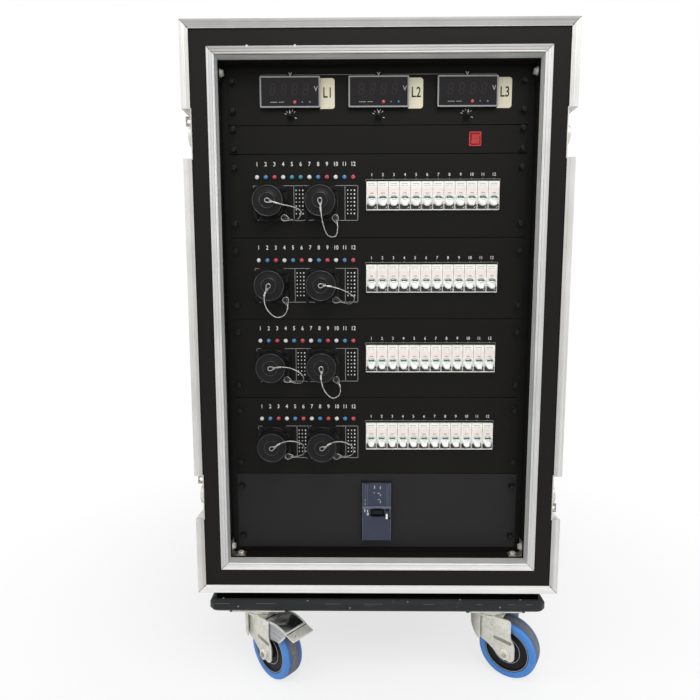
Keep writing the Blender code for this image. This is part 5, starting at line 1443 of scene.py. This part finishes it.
def make_caps():
    """Eight black screw caps with a raised rim, a boss and the post of the lanyard."""
    outline = [(1.0, -24.8), (19.95, -24.8), (19.95, -4.5)]
    outline += [(24.2, -4.5), (24.9, -5.2), (24.9, -10.5), (24.3, -11.0), (24.3, -12.6), (24.9, -13.1), (24.9, -30.6)]
    outline += [(24.6, -32.2), (23.9, -33.2), (23.1, -33.5), (22.4, -33.1), (21.9, -32.5), (13.6, -32.5), (12.9, -33.0)]
    outline += [(12.6, -34.9), (12.1, -35.4), (11.3, -35.4), (10.8, -34.8), (2.4, -34.8), (2.4, -38.0), (2.0, -38.5)]
    outline += [(1.2, -38.6), (0.9, -37.9)]
    angles = [2 * math.pi * k / 8 for k in range(8)]
    for number in ROWS:
        middle = panel_middle(f"outlet_panel_{number}")
        for side in SIDES:
            name = f"outlet_{number}_{side}_cap"
            centre = (CAP_X[side], 0, middle - CAP_DROP)
            form = Form()
            form.add(lathe("Y", outline, 72, centre, PANEL_FACE), "black_plastic")
            # The two beads on the rim and the boss are a paler grey than the cap's black plastic: a painted highlight
            # along their lips.
            for radius, y, thick in ((23.5, -33.45, 0.38), (11.8, -35.35, 0.36)):
                bead = [(radius + thick * math.cos(a), y + thick * math.sin(a)) for a in angles]
                form.add(lathe("Y", bead, 72, centre, PANEL_FACE, ring=True), "rim_painted_highlight")
            form.build(f"{name}_turned", name, [name])


# Breakers


def breaker_places(number, y, z):
    """The places of the twelve breakers of a row at a given depth and height."""
    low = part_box(f"outlet_{number}_breakers")[0]
    return [(low.x + 9 * MM + 18 * MM * i, y, z) for i in range(PER_ROW)]


def make_breakers():
    """Four rows of twelve single breakers: white housings with print and windows."""
    form = Form()
    nodes = [f"outlet_{number}_breakers" for number in ROWS]
    centres = []
    for number, node in zip(ROWS, nodes):
        centres += breaker_places(number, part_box(node)[0].y, panel_middle(node))
    white = "breaker_white"

    def part(low, high, look, chamfer=0.0):
        form.copies(box(*mm((low, high))), look, centres, chamfer)

    def plate(outline, y0, y1, look):
        form.copies(prism("Y", mm(outline), y0 * MM, y1 * MM), look, centres)

    part((-8.75, 0.4, 0.5), (8.75, 12, 22.8), white, 0.4 * MM)
    part((-8.75, 0, 8.6), (8.75, 8, 22.0), white, 0.45 * MM)
    part((-8.75, 0, -23.0), (8.75, 12, -21.6), white, 0.3 * MM)
    for side in (-1, 1):
        for inner, low, high in ((7.1, -13.4, 1.0), (8.25, -22.4, -13.2)):
            a, b = sorted((side * inner, side * 8.75))
            part((a, 0.2, low), (b, 12, high), white, 0.2 * MM)
    part((-8.8, 12.2, -42), (8.8, 62, 42), white, 0.5 * MM)
    # The grey box and plates under each lever are painted shade in the recess there.
    part((-8.3, 3.4, -22.0), (8.3, 4.4, -16.4), "recess_painted_shade")
    for side in (-1, 1):
        upper = [*arc((0, -8), 8.25, 30, 90, 6), (0, 0.6), (7.1, 0.6)]
        lower = [*arc((0, -8), 8.25, -38, -90, 6), (0, -16.6), (8.3, -16.6), (8.3, -13.1)]
        plate([(side * u, v) for u, v in upper], 0.7, 4.4, white)
        plate([(side * u, v) for u, v in lower], 3.4, 4.4, "recess_painted_shade")
    plate([(4.2, -19.4), (5.2, -19.4), (7.6, -16.8), (6.8, -16.6)], 3.2, 3.5, white)
    part((-7.6, 0.28, 1.2), (7.6, 0.5, 8.0), "breaker_tint")
    part((-8.0, -0.06, 9.0), (8.0, 0.1, 14.0), "breaker_tint")
    part((-6.2, -0.1, 18.4), (4.6, 0.1, 19.3), "mark_grey")
    part((-6.2, -0.1, 15.6), (-1.2, 0.1, 16.3), "mark_grey")
    part((0.8, -0.1, 15.6), (5.0, 0.1, 16.3), "mark_grey")
    part((-2.8, 0.12, 3.6), (3.0, 0.42, 4.6), "mark_brown")
    form.build("breaker_rows", replaces=nodes)


def make_levers():
    """The levers of each breaker row: round white hubs with a green bar, pointing down."""
    half = [(3.6, 7.05), (4.7, 6.4), (5.7, 5.5), (6.8, 4.1), (7.6, 2.2)]
    drum = lathe("X", [(r, -x) for r, x in half] + [(7.9, 0)] + [(r, x) for r, x in reversed(half)], 24)
    rings = []
    sections = ((4, 5.6, 2.6), (9, 5.2, 2.5), (11.5, 4.3, 2.3), (13.2, 3.0, 1.8), (13.9, 1.6, 1.0))
    for reach, half_width, half_depth in sections:
        section = rounded_outline(2 * half_width, 2 * half_depth, 0.8 * half_depth, 3)
        rings.append(mm([(x, *turned([(-reach, depth)], 35)[0]) for x, depth in section]))
    tongue = loft(rings)
    band = mm(arc((0, 0), 8.0, 128, 152, 4) + arc((0, 0), 6.9, 152, 128, 4))
    low_band = mm(arc((0, 0), 8.02, 168, 173, 1) + arc((0, 0), 7.2, 173, 168, 1))
    for number in ROWS:
        name = f"outlet_{number}_levers"
        pivot = frame_joint(f"{name}_turn")
        places = breaker_places(number, pivot.y, pivot.z)
        form = Form()
        form.copies(drum, "lever_white", places)
        form.copies(tongue, "lever_white", places)
        form.copies(prism("X", band, -4.7 * MM, 4.7 * MM), "lever_green", places)
        form.copies(prism("X", low_band, -2.9 * MM, 2.9 * MM), "mark_grey", places)
        # The rod through the levers takes the painted-shade grey of the recess.
        form.add(lathe("X", [(1.9, 0), (1.9, 198)], 12, (0, pivot.y, pivot.z), places[0][0]), "recess_painted_shade")
        form.build(f"{name}_set", name, [name])


def make_main_breaker():
    """The main breaker, its lever and its trip button."""
    low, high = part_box("main_breaker")
    middle = (low.z + high.z) / 2
    front = low.y
    form = Form()

    def part(x0, y0, z0, x1, y1, z1, look, chamfer=0.0):
        shape = box((x0 * MM, front + y0 * MM, middle + z0 * MM), (x1 * MM, front + y1 * MM, middle + z1 * MM))
        form.add(shape, look, chamfer)

    part(-24.5, 0, -51, 24.5, 14, -7.8, "navy_plastic", 0.8 * MM)
    part(-24.5, 1.5, 9.8, 24.5, 14, 51, "navy_plastic", 0.8 * MM)
    part(-24.5, 0, 5.8, 24.5, 14, 10.4, "navy_edge", 0.7 * MM)
    part(-24.5, 0, -8.4, -10.6, 14, 6.4, "navy_plastic", 0.2 * MM)
    part(13.2, 0.0, -2.2, 24.5, 14, 6.4, "navy_plastic", 0.2 * MM)
    part(20.2, 0.0, -12.6, 24.5, 14, -2.0, "navy_plastic", 0.2 * MM)
    part(13.2, 0.6, -12.6, 15.0, 14, -2.0, "black_plastic", 0.2 * MM)
    part(-52.4, 15, -64.9, 52.4, 84.9, 64.9, "navy_plastic", 0.8 * MM)
    part(-11, 18.6, -8.2, 13.6, 19.4, 6.2, "black_plastic")
    for x in (-10.6, 13.2):
        part(x - 0.5, 0.3, -8.2, x + 0.5, 18.8, 6.0, "black_plastic")
    for x0, y0, z0, x1, y1, z1 in ((23.2, 0.35, -51.2, 24.9, 3, 10), (23.4, 1.8, 10, 24.8, 4, 51.2)):
        part(-x1, y0, z0, -x0, y1, z1, "navy_edge", 0.3 * MM)
        part(x0, y0, z0, x1, y1, z1, "navy_edge", 0.3 * MM)
    for x in (-19.6, -16.4, 17.4, 20.2):
        part(x, 1.25, 11.5, x + 0.7, 1.7, 49.5, "navy_edge")
    part(-27.0, 7.1, -53.6, 27.0, 7.95, 53.6, "ink_black", 0.2 * MM)
    part(15.4, -0.12, 1.6, 21.2, 0.4, 6.8, "ink_black", 0.1 * MM)
    part(20.0, -0.12, -13.4, 21.0, 0.4, 1.8, "ink_black")
    face = front + 1.5 * MM
    for x, z, w, h in (
        (-3.6, 44.5, 1.8, 5.4),
        (6.2, 43.6, 1.6, 5.0),
        (-4.2, 34.4, 3.0, 0.9),
        (3.4, 33.6, 3.4, 1.6),
        (6.6, 30.2, 1.8, 3.0),
        (4.0, 22.4, 4.2, 1.2),
        (6.4, 18.2, 1.4, 4.6),
        (-19.8, 20.8, 1.0, 3.6),
        (-19.8, 14.2, 1.2, 4.2),
    ):
        form.add(block((x * MM, face - 0.1 * MM, middle + z * MM), (w * MM, 0.3 * MM, h * MM)), "mark_grey")
    lettering("I", 8 * MM, -20.4 * MM, front, middle + 2.8 * MM, "print_white", form)
    lettering("0", 7 * MM, -15.4 * MM, front, middle - 3.2 * MM, "print_white", form)
    line(form, -15.6 * MM, middle + 1.6 * MM, -15.6 * MM, middle + 4.0 * MM, 1.5 * MM, front)
    form.build("main_breaker_housing", replaces=["main_breaker"])
    make_main_lever()


def make_main_lever():
    """The main breaker's black lever and its white trip button."""
    pivot = frame_joint("main_breaker_throw")
    form = Form()
    outline = [(-20, -3.0), (-20, 3.0), (-12, 3.0), (0, 4.4), (3, 3.0), (3, -3.0), (0, -4.4), (-12, -3.0)]
    points = [(pivot.y + y * MM, pivot.z + z * MM) for y, z in turned(outline, -11)]
    form.add(prism("X", points, pivot.x - 8.4 * MM, pivot.x + 8.4 * MM), "black_plastic", 0.9 * MM, 2)
    outline = arc((0, 0), 9.3, 128, 232, 10) + arc((0, 0), 8.3, 232, 128, 10)
    cover = [(pivot.y + y * MM, pivot.z + z * MM) for y, z in outline]
    form.add(prism("X", cover, pivot.x - 10.6 * MM, pivot.x + 10.6 * MM), "black_plastic")
    form.add(lathe("X", [(1.9, -14), (1.9, 14)], 16, (0, pivot.y, pivot.z), pivot.x), "zinc_dull")
    form.build("main_lever_grip", "main_breaker_lever", ["main_breaker_lever"])
    low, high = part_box("trip_button")
    button = Form()
    button.add(box(low, high), "lever_white", 0.6 * MM, 2)
    button.build("trip_button_cap", "trip_button", ["trip_button"])


# Wheel board and casters


def bevel_y(z):
    """The board's front at a height in millimetres: upright, then leaning back in its bevel."""
    return BOARD_FRONT + max(0, z - BEVEL_START) * BEVEL_SLOPE * MM


def make_board():
    """The wheel board with its bevel in painted shade, a painted shadow under the case's edge, scuffs and dots, and the
    caster plates with their bolts.
    """
    form = Form()
    points, faces = cleaned(cad_shape("wheel_board"), 1.2 * MM, 2, merge=True)
    bevel, rest = [], []
    for face in faces:
        heights = [points[i].z for i in face]
        leans = min(heights) > (BEVEL_START - 1) * MM and max(heights) - min(heights) > 6 * MM
        (bevel if leans else rest).append(face)
    # The bevel's faces take a darker copy of the board's paint: painted shade.
    for look_name, wanted in (("board_paint", rest), ("board_bevel_painted_shade", bevel)):
        used = sorted({i for face in wanted for i in face})
        number = {old: new for new, old in enumerate(used)}
        part = ([points[i] for i in used], [tuple(number[i] for i in face) for face in wanted])
        form.add(part, look_name, clean=False)
    # Two strips along the top of the bevel, under the case's edge: a painted shadow, black above and in the screws'
    # black below as its soft edge.
    for lower, upper, reach, shade in ((151.2, 163.6, 273.8, "painted_shadow_black"), (149.4, 151.1, 279, "screw_black")):
        slope = [(bevel_y(z) + y * MM, z * MM) for z, y in ((lower, -0.13), (upper, -0.13), (upper, 2), (lower, 2))]
        form.add(prism("X", slope, -reach * MM, reach * MM), shade)
    for x0, x1 in ((-276, -250), (-206, -171), (-88, -62), (-22, 9), (78, 96), (168, 178), (222, 233), (251, 263)):
        form.add(box((x0 * MM, -0.30012, 0.1437), (x1 * MM, -0.2990, 0.1443)), "scuff")
    bolts = []
    for x, y, _ in CASTERS.values():
        plate = rounded_outline(100.6 * MM, 85.6 * MM, 7 * MM, 5, (x, y))
        form.add(prism("Z", plate, 123.8 * MM, 128.2 * MM), "zinc", 0.6 * MM)
        race = [(12, 123.9), (25.2, 123.9), (25.2, 122.2), (24.4, 121.8), (12, 121.8)]
        form.add(lathe("Z", race, 40, (x, y, 0)), "zinc_dull")
        pin = [(6, 123), (6, 104.2), (8.8, 104.2), (8.8, 100.9), (5, 100.9), (5, 100.0)]
        form.add(lathe("Z", pin, 6, (x, y, 0)), "zinc_dull")
        bolts += [(x + sx * 40 * MM, y + sy * 33 * MM, 123.8 * MM) for sx, sy in CORNERS]
    head = [(7.2, 0.1), (7.2, -0.5), (6.2, -1.1), (3.4, -1.3), (3.0, -0.6)]
    form.copies(lathe("Z", head, 20), "zinc_dull", bolts)
    dots = ((-262, 151), (-236, 139), (-118, 148), (-46, 137), (52, 147), (141, 150), (208, 139), (243, 150))
    places = [(x * MM, bevel_y(z), z * MM) for x, z in dots]
    form.copies(lathe("Y", [(1.5, 0.2), (1.5, -0.15), (0.6, -0.25)], 8), "aluminium_shade", places)
    form.build("wheel_board_painted", replaces=["wheel_board"])


def fork_outline():
    """A fork's side plate from the round neck to the toe below the axle."""
    toe = arc((44.5, 45.5), 9.4, 225, 350, 10)
    outline = [(-15, 108.6), (-15, 71), (-8, 64.5), (2, 60), (10, 55.4), (18, 49), (27, 40.5), (32, 37.4), *toe]
    outline += [(54.2, 62), (52.4, 70), (47.6, 78), (46.6, 84), (46.6, 106), (45, 109.6), (41, 111)]
    return mm(outline)


def neck_shape():
    """The round neck that joins the two plates behind the swivel axis."""
    lower = {0: 86, 1: 85, 2: 82, 3: 77, 4: 71, 5: 66, 6: 63}
    rings = []
    for i in range(-6, 7):
        angle = math.radians(180 - 13.2 * i)
        bottom = lower[abs(i)]
        section = [(31.6, 108.4), (31.9, 97), (31.2, bottom), (28.6, bottom), (28.8, 108.4)]
        rings.append([(r * MM * math.cos(angle), r * MM * math.sin(angle), z * MM) for r, z in section])
    return loft(rings)


def caster_matrix(name):
    """From a caster's own frame, trailing along +X, to its place under the board."""
    x, y, turn = CASTERS[name]
    return Matrix.Translation((x, y, 0)) @ Matrix.Rotation(math.radians(turn), 4, "Z")


def make_forks():
    """The swivel forks: pressed plates with a slot, the ball cup, the crown and the axle's nuts."""
    cup = [(7, 104.6), (24, 104.6), (30.4, 106.2), (31, 108), (31, 116.2)]
    cup += [(30, 117.4), (27.6, 118.0), (27.2, 120.6), (26, 121.4), (7, 121.4)]
    groove = [(30.6, 111.2), (31.25, 111.2), (31.25, 112.4), (30.6, 112.4)]
    crown = rounded_outline(46 * MM, 50.6 * MM, 7 * MM, 5, (7 * MM, 0))
    outline = fork_outline()
    ends = (20 * MM, 73 * MM), (46 * MM, 70.5 * MM)
    centre = (TRAIL, 0, WHEEL_RADIUS)
    pivot = (PEDAL_PIVOT[0] - 2 * MM, 0, PEDAL_PIVOT[1] + 4.5 * MM)
    washer = [(9.4, -0.2), (9.4, 1.1), (3, 1.1)]
    nut = [(9.6, 1.0), (9.8, 1.6), (9.8, 5.2), (8.4, 6.2), (5.0, 6.2)]
    end = [(3.9, 4.0), (3.9, 7.4), (3.1, 8.0)]
    rivet = [(3.9, -0.3), (3.9, 0.9), (3.1, 1.8), (1.4, 2.2)]
    for name in CASTERS:
        form = Form()

        def part(shape, look, chamfer=0.0, rounds=1, place=caster_matrix(name), form=form):
            form.add(shape, look, chamfer, rounds, place)

        part(lathe("Z", cup, 56, ring=True), "zinc")
        part(lathe("Z", groove, 56, ring=True), "zinc_dull")
        part(prism("Z", crown, 104.7 * MM, 108.6 * MM), "zinc", 0.8 * MM)
        part(neck_shape(), "zinc", 0.5 * MM)
        for side in (-1, 1):
            face = side * FORK_OUTER
            part(prism("Y", outline, side * FORK_INNER, face), "zinc", 0.8 * MM, 2)
            slot = capsule(*ends, 3.2 * MM)
            part(prism("Y", slot, face - side * 0.4 * MM, face + side * 0.12 * MM), "slot_grey")
            rim = [(u, face, v) for u, v in capsule(*ends, 3.5 * MM)]
            part(tube(rim, 0.4 * MM, 6, closed=True), "zinc")
            part(lathe("Y", washer, 32, centre, face, side), "zinc")
            part(lathe("Y", nut, 6, centre, face, side), "zinc")
            part(lathe("Y", end, 20, centre, face, side), "zinc_dull")
            if name in BRAKED:
                part(lathe("Y", rivet, 20, pivot, face, side), "zinc")
        part(lathe("Y", [(5.9, -23), (5.9, 23)], 20, centre), "zinc_dull")
        form.build(f"{name}_fork_pressed", f"{name}_fork", [f"{name}_fork"])


def make_wheels():
    """The wheels: a blue tyre with a worn tread on a black hub."""
    tyre = [(38, 15.2), (38, 17.6), (41, 18.0), (45.4, 17.9), (47.6, 16.8), (48.9, 14.6), (49.5, 12.4)]
    shoulder = [(40, 8), (49.5, 12.5), (49.8, 11.0), (49.93, 9.6), (49.96, 4.8), (44, 4.8)]
    tread = [(49.3, 12.2), (49.5, 11.3), (49.6, 9.6), (49.7, 5.4), (50, 4.6), (50, 0)]
    hub = [(8, 10), (8, 21.9), (11.4, 21.9), (12.4, 20.8), (13.4, 15.0), (15.0, 14.2), (20.5, 14.2), (21.5, 15.6)]
    hub += [(23.5, 15.6), (24.5, 14.4), (33.5, 14.2), (34.6, 16.2), (37.4, 16.8), (38.0, 16.4), (38.0, 10)]
    whole = tread + [(r, -y) for r, y in reversed(tread[:-1])] + [(42, -12), (42, 12)]
    angles = [2 * math.pi * k / 6 for k in range(6)]
    for name in CASTERS:
        form = Form()

        def part(profile, look, sides=96, sign=1, place=caster_matrix(name), form=form):
            shape = lathe("Y", profile, sides, (TRAIL, 0, WHEEL_RADIUS), 0.0, sign, ring=True)
            form.add(shape, look, place=place)

        for side in (-1, 1):
            part([(36, 12), *tyre, (44, 12)], "tyre_blue", sign=side)
            part(shoulder, "tread_edge", sign=side)
            part(hub, "hub_black", sign=side)
            for radius, y in ((36.3, 16.9), (22.5, 15.75)):
                ring = [(radius + 0.5 * math.cos(a), y + 0.4 * math.sin(a)) for a in angles]
                part(ring, "hub_ring", 72, side)
        part(whole, "tread")
        part([(6.6, -22), (8.4, -22), (8.4, 22), (6.6, 22)], "zinc_dull", 24)
        form.build(f"{name}_wheel_rolled", f"{name}_wheel", [f"{name}_wheel"])


def pedal_arc(outwards, steps=20):
    """Points over the tyre from the pedal's back to its nose, in the caster's own plane."""
    back, nose = 95.4, 47
    points = []
    for i in range(steps + 1):
        t = i / steps
        angle = math.radians(back + (nose - back) * t)
        radius = 52.6 + 22 * t**1.3 + outwards
        points.append((38 + radius * math.cos(angle), 50 + radius * math.sin(angle)))
    return points


def make_pedals():
    """The brake pedals: a polished hood over the tyre, cheeks on pivots and a pale tread lip."""
    nose = pedal_arc(1.6)[-1]

    def at_nose(outline):
        return [(nose[0] + u, nose[1] + v) for u, v in turned(outline, -12)]

    hood = pedal_arc(0) + list(reversed(pedal_arc(3.0)))
    edge = pedal_arc(0.4) + list(reversed(pedal_arc(3.9)))
    cheek = pedal_arc(1.6) + [(84.6, 97.4), (70, 82), (47, 78.6), (33, 87.7)]
    rim = [(85.6, 103.6), (88.6, 105.2), (86.6, 97.2), (71, 80.6), (69, 83.2), (83.2, 98.4)]
    lip = at_nose([(-3.2, -1.6), (20, -1.6), (20, 1.6), (-3.2, 1.6)])
    bead = at_nose([(-2.4, 1.2), (1.4, 1.2), (1.0, 2.6), (-2.0, 2.6)])
    groove = at_nose([(1.7, 1.4), (3.4, 1.4), (3.4, 1.75), (1.7, 1.75)])
    dot = at_nose([(12.2, 1.5), (14.0, 1.5), (14.0, 1.75), (12.2, 1.75)])
    for name in BRAKED:
        form = Form()

        def plate(outline, y0, y1, look, chamfer=0.5, rounds=2, place=caster_matrix(name), form=form):
            form.add(prism("Y", mm(outline), y0 * MM, y1 * MM), look, chamfer * MM, rounds, place)

        plate(hood, -21.6, 21.6, "polished_steel", 0.4)
        for side in (-1, 1):
            plate(edge, *sorted((side * 19.8, side * 22.2)), "zinc", 0.6)
        for side in (-1, 1):
            plate(cheek, *sorted((side * 20.2, side * 22.1)), "polished_steel", 0.3, 1)
            plate(rim, *sorted((side * 19.9, side * 22.3)), "zinc", 0.3, 1)
        plate(lip, -22, 22, "zinc", 0.9)
        plate(bead, -21.4, 21.4, "zinc", 0.5)
        plate(groove, -21.2, 21.2, "slot_steel", 0.0)
        hole = caster_matrix(name) @ Matrix.Translation((0, -12 * MM, 0))
        plate(dot, -0.9, 0.9, "slot_steel", 0.0, 1, hole)
        form.build(f"{name}_pedal_pressed", f"{name}_brake_pedal", [f"{name}_brake_pedal"])


def make_catches():
    """The turning catches: a zinc disc with a rivet, its tongue and its holed ear."""
    disc = [(16.2, 0.6), (16.3, 1.2), (16.3, 4.4), (15.4, 5.5), (12.5, 5.7)]
    disc += [(12.0, 5.2), (5.0, 5.2), (4.6, 6.4), (2.4, 6.8)]
    for name in ("left_top_catch", "left_bottom_catch", "right_top_catch", "right_bottom_catch"):
        pivot = frame_joint(f"{name}_turn")
        side = -1 if pivot.x < 0 else 1
        form = Form()
        form.add(cad_shape(name), "zinc_dull", 0.4 * MM, merge=True)
        form.add(lathe("X", disc, 48, (0, pivot.y, pivot.z), pivot.x, side), "zinc")
        form.build(f"{name}_plated", name, [name])


def colour_setting(name, description, default):
    """A colour that a user may change."""
    return FloatVectorProperty(
        name=name, description=description, default=default, size=3, min=0, max=1, subtype="COLOR"
    )


class PowerBoxSettings(bpy.types.PropertyGroup):
    """Sizes and colours of the power distribution box that a user may change."""

    lens: FloatProperty(name="Lens", description="Focal length of the camera", default=27.01, min=10, unit="CAMERA")
    light: FloatProperty(name="Light", description="Level of the studio lamps", default=1.0, min=0.0, subtype="FACTOR")
    chamfer: FloatProperty(
        name="Broken edge", description="Chamfer along the case's edges", default=0.6 * MM, min=0.0, unit="LENGTH"
    )
    wire_diameter: FloatProperty(
        name="Wire diameter", description="Thickness of the lanyards", default=2 * MM, min=0.0005, unit="LENGTH"
    )
    wire_lay: FloatProperty(
        name="Wire lay", description="Length of one full twist of the wire", default=12 * MM, min=0.001, unit="LENGTH"
    )
    tyre_colour: colour_setting("Tyre", "Colour of the tyres", tone(62, 130, 208))
    rocker_colour: colour_setting("Rocker", "Colour of the rocker switch", tone(178, 34, 38))
    lamp_blue: colour_setting("Blue lamps", "Colour of the blue lamps", tone(62, 138, 196))
    lamp_red: colour_setting("Red lamps", "Colour of the red lamps", tone(206, 62, 74))
    print_colour: colour_setting("Print", "Colour of the print", tone(228, 228, 226))


class POWERBOX_OT_stage(bpy.types.Operator):
    """Sets up the camera, the soft lamps and the floor"""

    bl_idname = "power_box.stage"
    bl_label = "Stage"

    def execute(self, context):
        make_stage(context.scene.power_box)
        return {"FINISHED"}


class POWERBOX_OT_lanyards(bpy.types.Operator):
    """Makes the eight wire lanyards of the socket caps"""

    bl_idname = "power_box.lanyards"
    bl_label = "Lanyards"

    def execute(self, context):
        make_lanyards(context.scene.power_box)
        return {"FINISHED"}


class POWERBOX_OT_case(bpy.types.Operator):
    """Makes the laminated case, its edge angles and the frame of its opening"""

    bl_idname = "power_box.flight_case"
    bl_label = "Flight case"

    def execute(self, context):
        make_case(context.scene.power_box)
        return {"FINISHED"}


class POWERBOX_OT_rack(bpy.types.Operator):
    """Makes the rack frame with its bolts and the screws of the panels"""

    bl_idname = "power_box.rack"
    bl_label = "Rack and screws"

    def execute(self, context):
        make_rack()
        return {"FINISHED"}


class POWERBOX_OT_panels(bpy.types.Operator):
    """Makes the rack panels with their sockets, lamps and print"""

    bl_idname = "power_box.panels"
    bl_label = "Panels and print"

    def execute(self, context):
        make_panels()
        return {"FINISHED"}


class POWERBOX_OT_meters(bpy.types.Operator):
    """Makes the three voltmeters and their label plates"""

    bl_idname = "power_box.meters"
    bl_label = "Voltmeters"

    def execute(self, context):
        make_meters()
        return {"FINISHED"}


class POWERBOX_OT_controls(bpy.types.Operator):
    """Makes the selector knobs and the rocker switch"""

    bl_idname = "power_box.controls"
    bl_label = "Knobs and rocker"

    def execute(self, context):
        make_knobs()
        make_rocker()
        return {"FINISHED"}


class POWERBOX_OT_caps(bpy.types.Operator):
    """Makes the eight screw caps of the sockets"""

    bl_idname = "power_box.caps"
    bl_label = "Socket caps"

    def execute(self, context):
        make_caps()
        return {"FINISHED"}


class POWERBOX_OT_breakers(bpy.types.Operator):
    """Makes the four breaker rows and their levers"""

    bl_idname = "power_box.breakers"
    bl_label = "Breaker rows"

    def execute(self, context):
        make_breakers()
        make_levers()
        return {"FINISHED"}


class POWERBOX_OT_main_breaker(bpy.types.Operator):
    """Makes the main breaker with its lever and trip button"""

    bl_idname = "power_box.main_breaker"
    bl_label = "Main breaker"

    def execute(self, context):
        make_main_breaker()
        return {"FINISHED"}


class POWERBOX_OT_board(bpy.types.Operator):
    """Makes the wheel board with the caster plates and their bolts"""

    bl_idname = "power_box.board"
    bl_label = "Wheel board"

    def execute(self, context):
        make_board()
        return {"FINISHED"}


class POWERBOX_OT_casters(bpy.types.Operator):
    """Makes the forks, wheels and brake pedals of the casters"""

    bl_idname = "power_box.casters"
    bl_label = "Casters"

    def execute(self, context):
        make_forks()
        make_wheels()
        make_pedals()
        return {"FINISHED"}


class POWERBOX_OT_catches(bpy.types.Operator):
    """Makes the four turning catches in the edges of the case"""

    bl_idname = "power_box.catches"
    bl_label = "Catches"

    def execute(self, context):
        make_catches()
        return {"FINISHED"}


OPERATORS = (
    POWERBOX_OT_stage,
    POWERBOX_OT_lanyards,
    POWERBOX_OT_case,
    POWERBOX_OT_rack,
    POWERBOX_OT_panels,
    POWERBOX_OT_meters,
    POWERBOX_OT_controls,
    POWERBOX_OT_caps,
    POWERBOX_OT_breakers,
    POWERBOX_OT_main_breaker,
    POWERBOX_OT_board,
    POWERBOX_OT_casters,
    POWERBOX_OT_catches,
)


class POWERBOX_PT_pieces(bpy.types.Panel):
    """Lists the settings and the pieces of the power distribution box"""

    bl_idname = "POWERBOX_PT_pieces"
    bl_label = "Power box"
    bl_space_type = "VIEW_3D"
    bl_region_type = "UI"
    bl_category = "Power box"

    def draw(self, context):
        look = context.scene.power_box
        column = self.layout.column()
        for name in look.__annotations__:
            column.prop(look, name)
        for operator in OPERATORS:
            column.operator(operator.bl_idname)


CLASSES = (PowerBoxSettings, *OPERATORS, POWERBOX_PT_pieces)


def register():
    """Registers the classes and hangs the settings on the scene."""
    for each in CLASSES:
        bpy.utils.register_class(each)
    bpy.types.Scene.power_box = PointerProperty(type=PowerBoxSettings)


def unregister():
    """Takes away what register set up."""
    del bpy.types.Scene.power_box
    for each in reversed(CLASSES):
        bpy.utils.unregister_class(each)


def main():
    """Registers the add-on and makes every piece in order."""
    register()
    for operator in OPERATORS:
        group, name = operator.bl_idname.split(".")
        getattr(getattr(bpy.ops, group), name)()


if __name__ == "__main__":
    main()
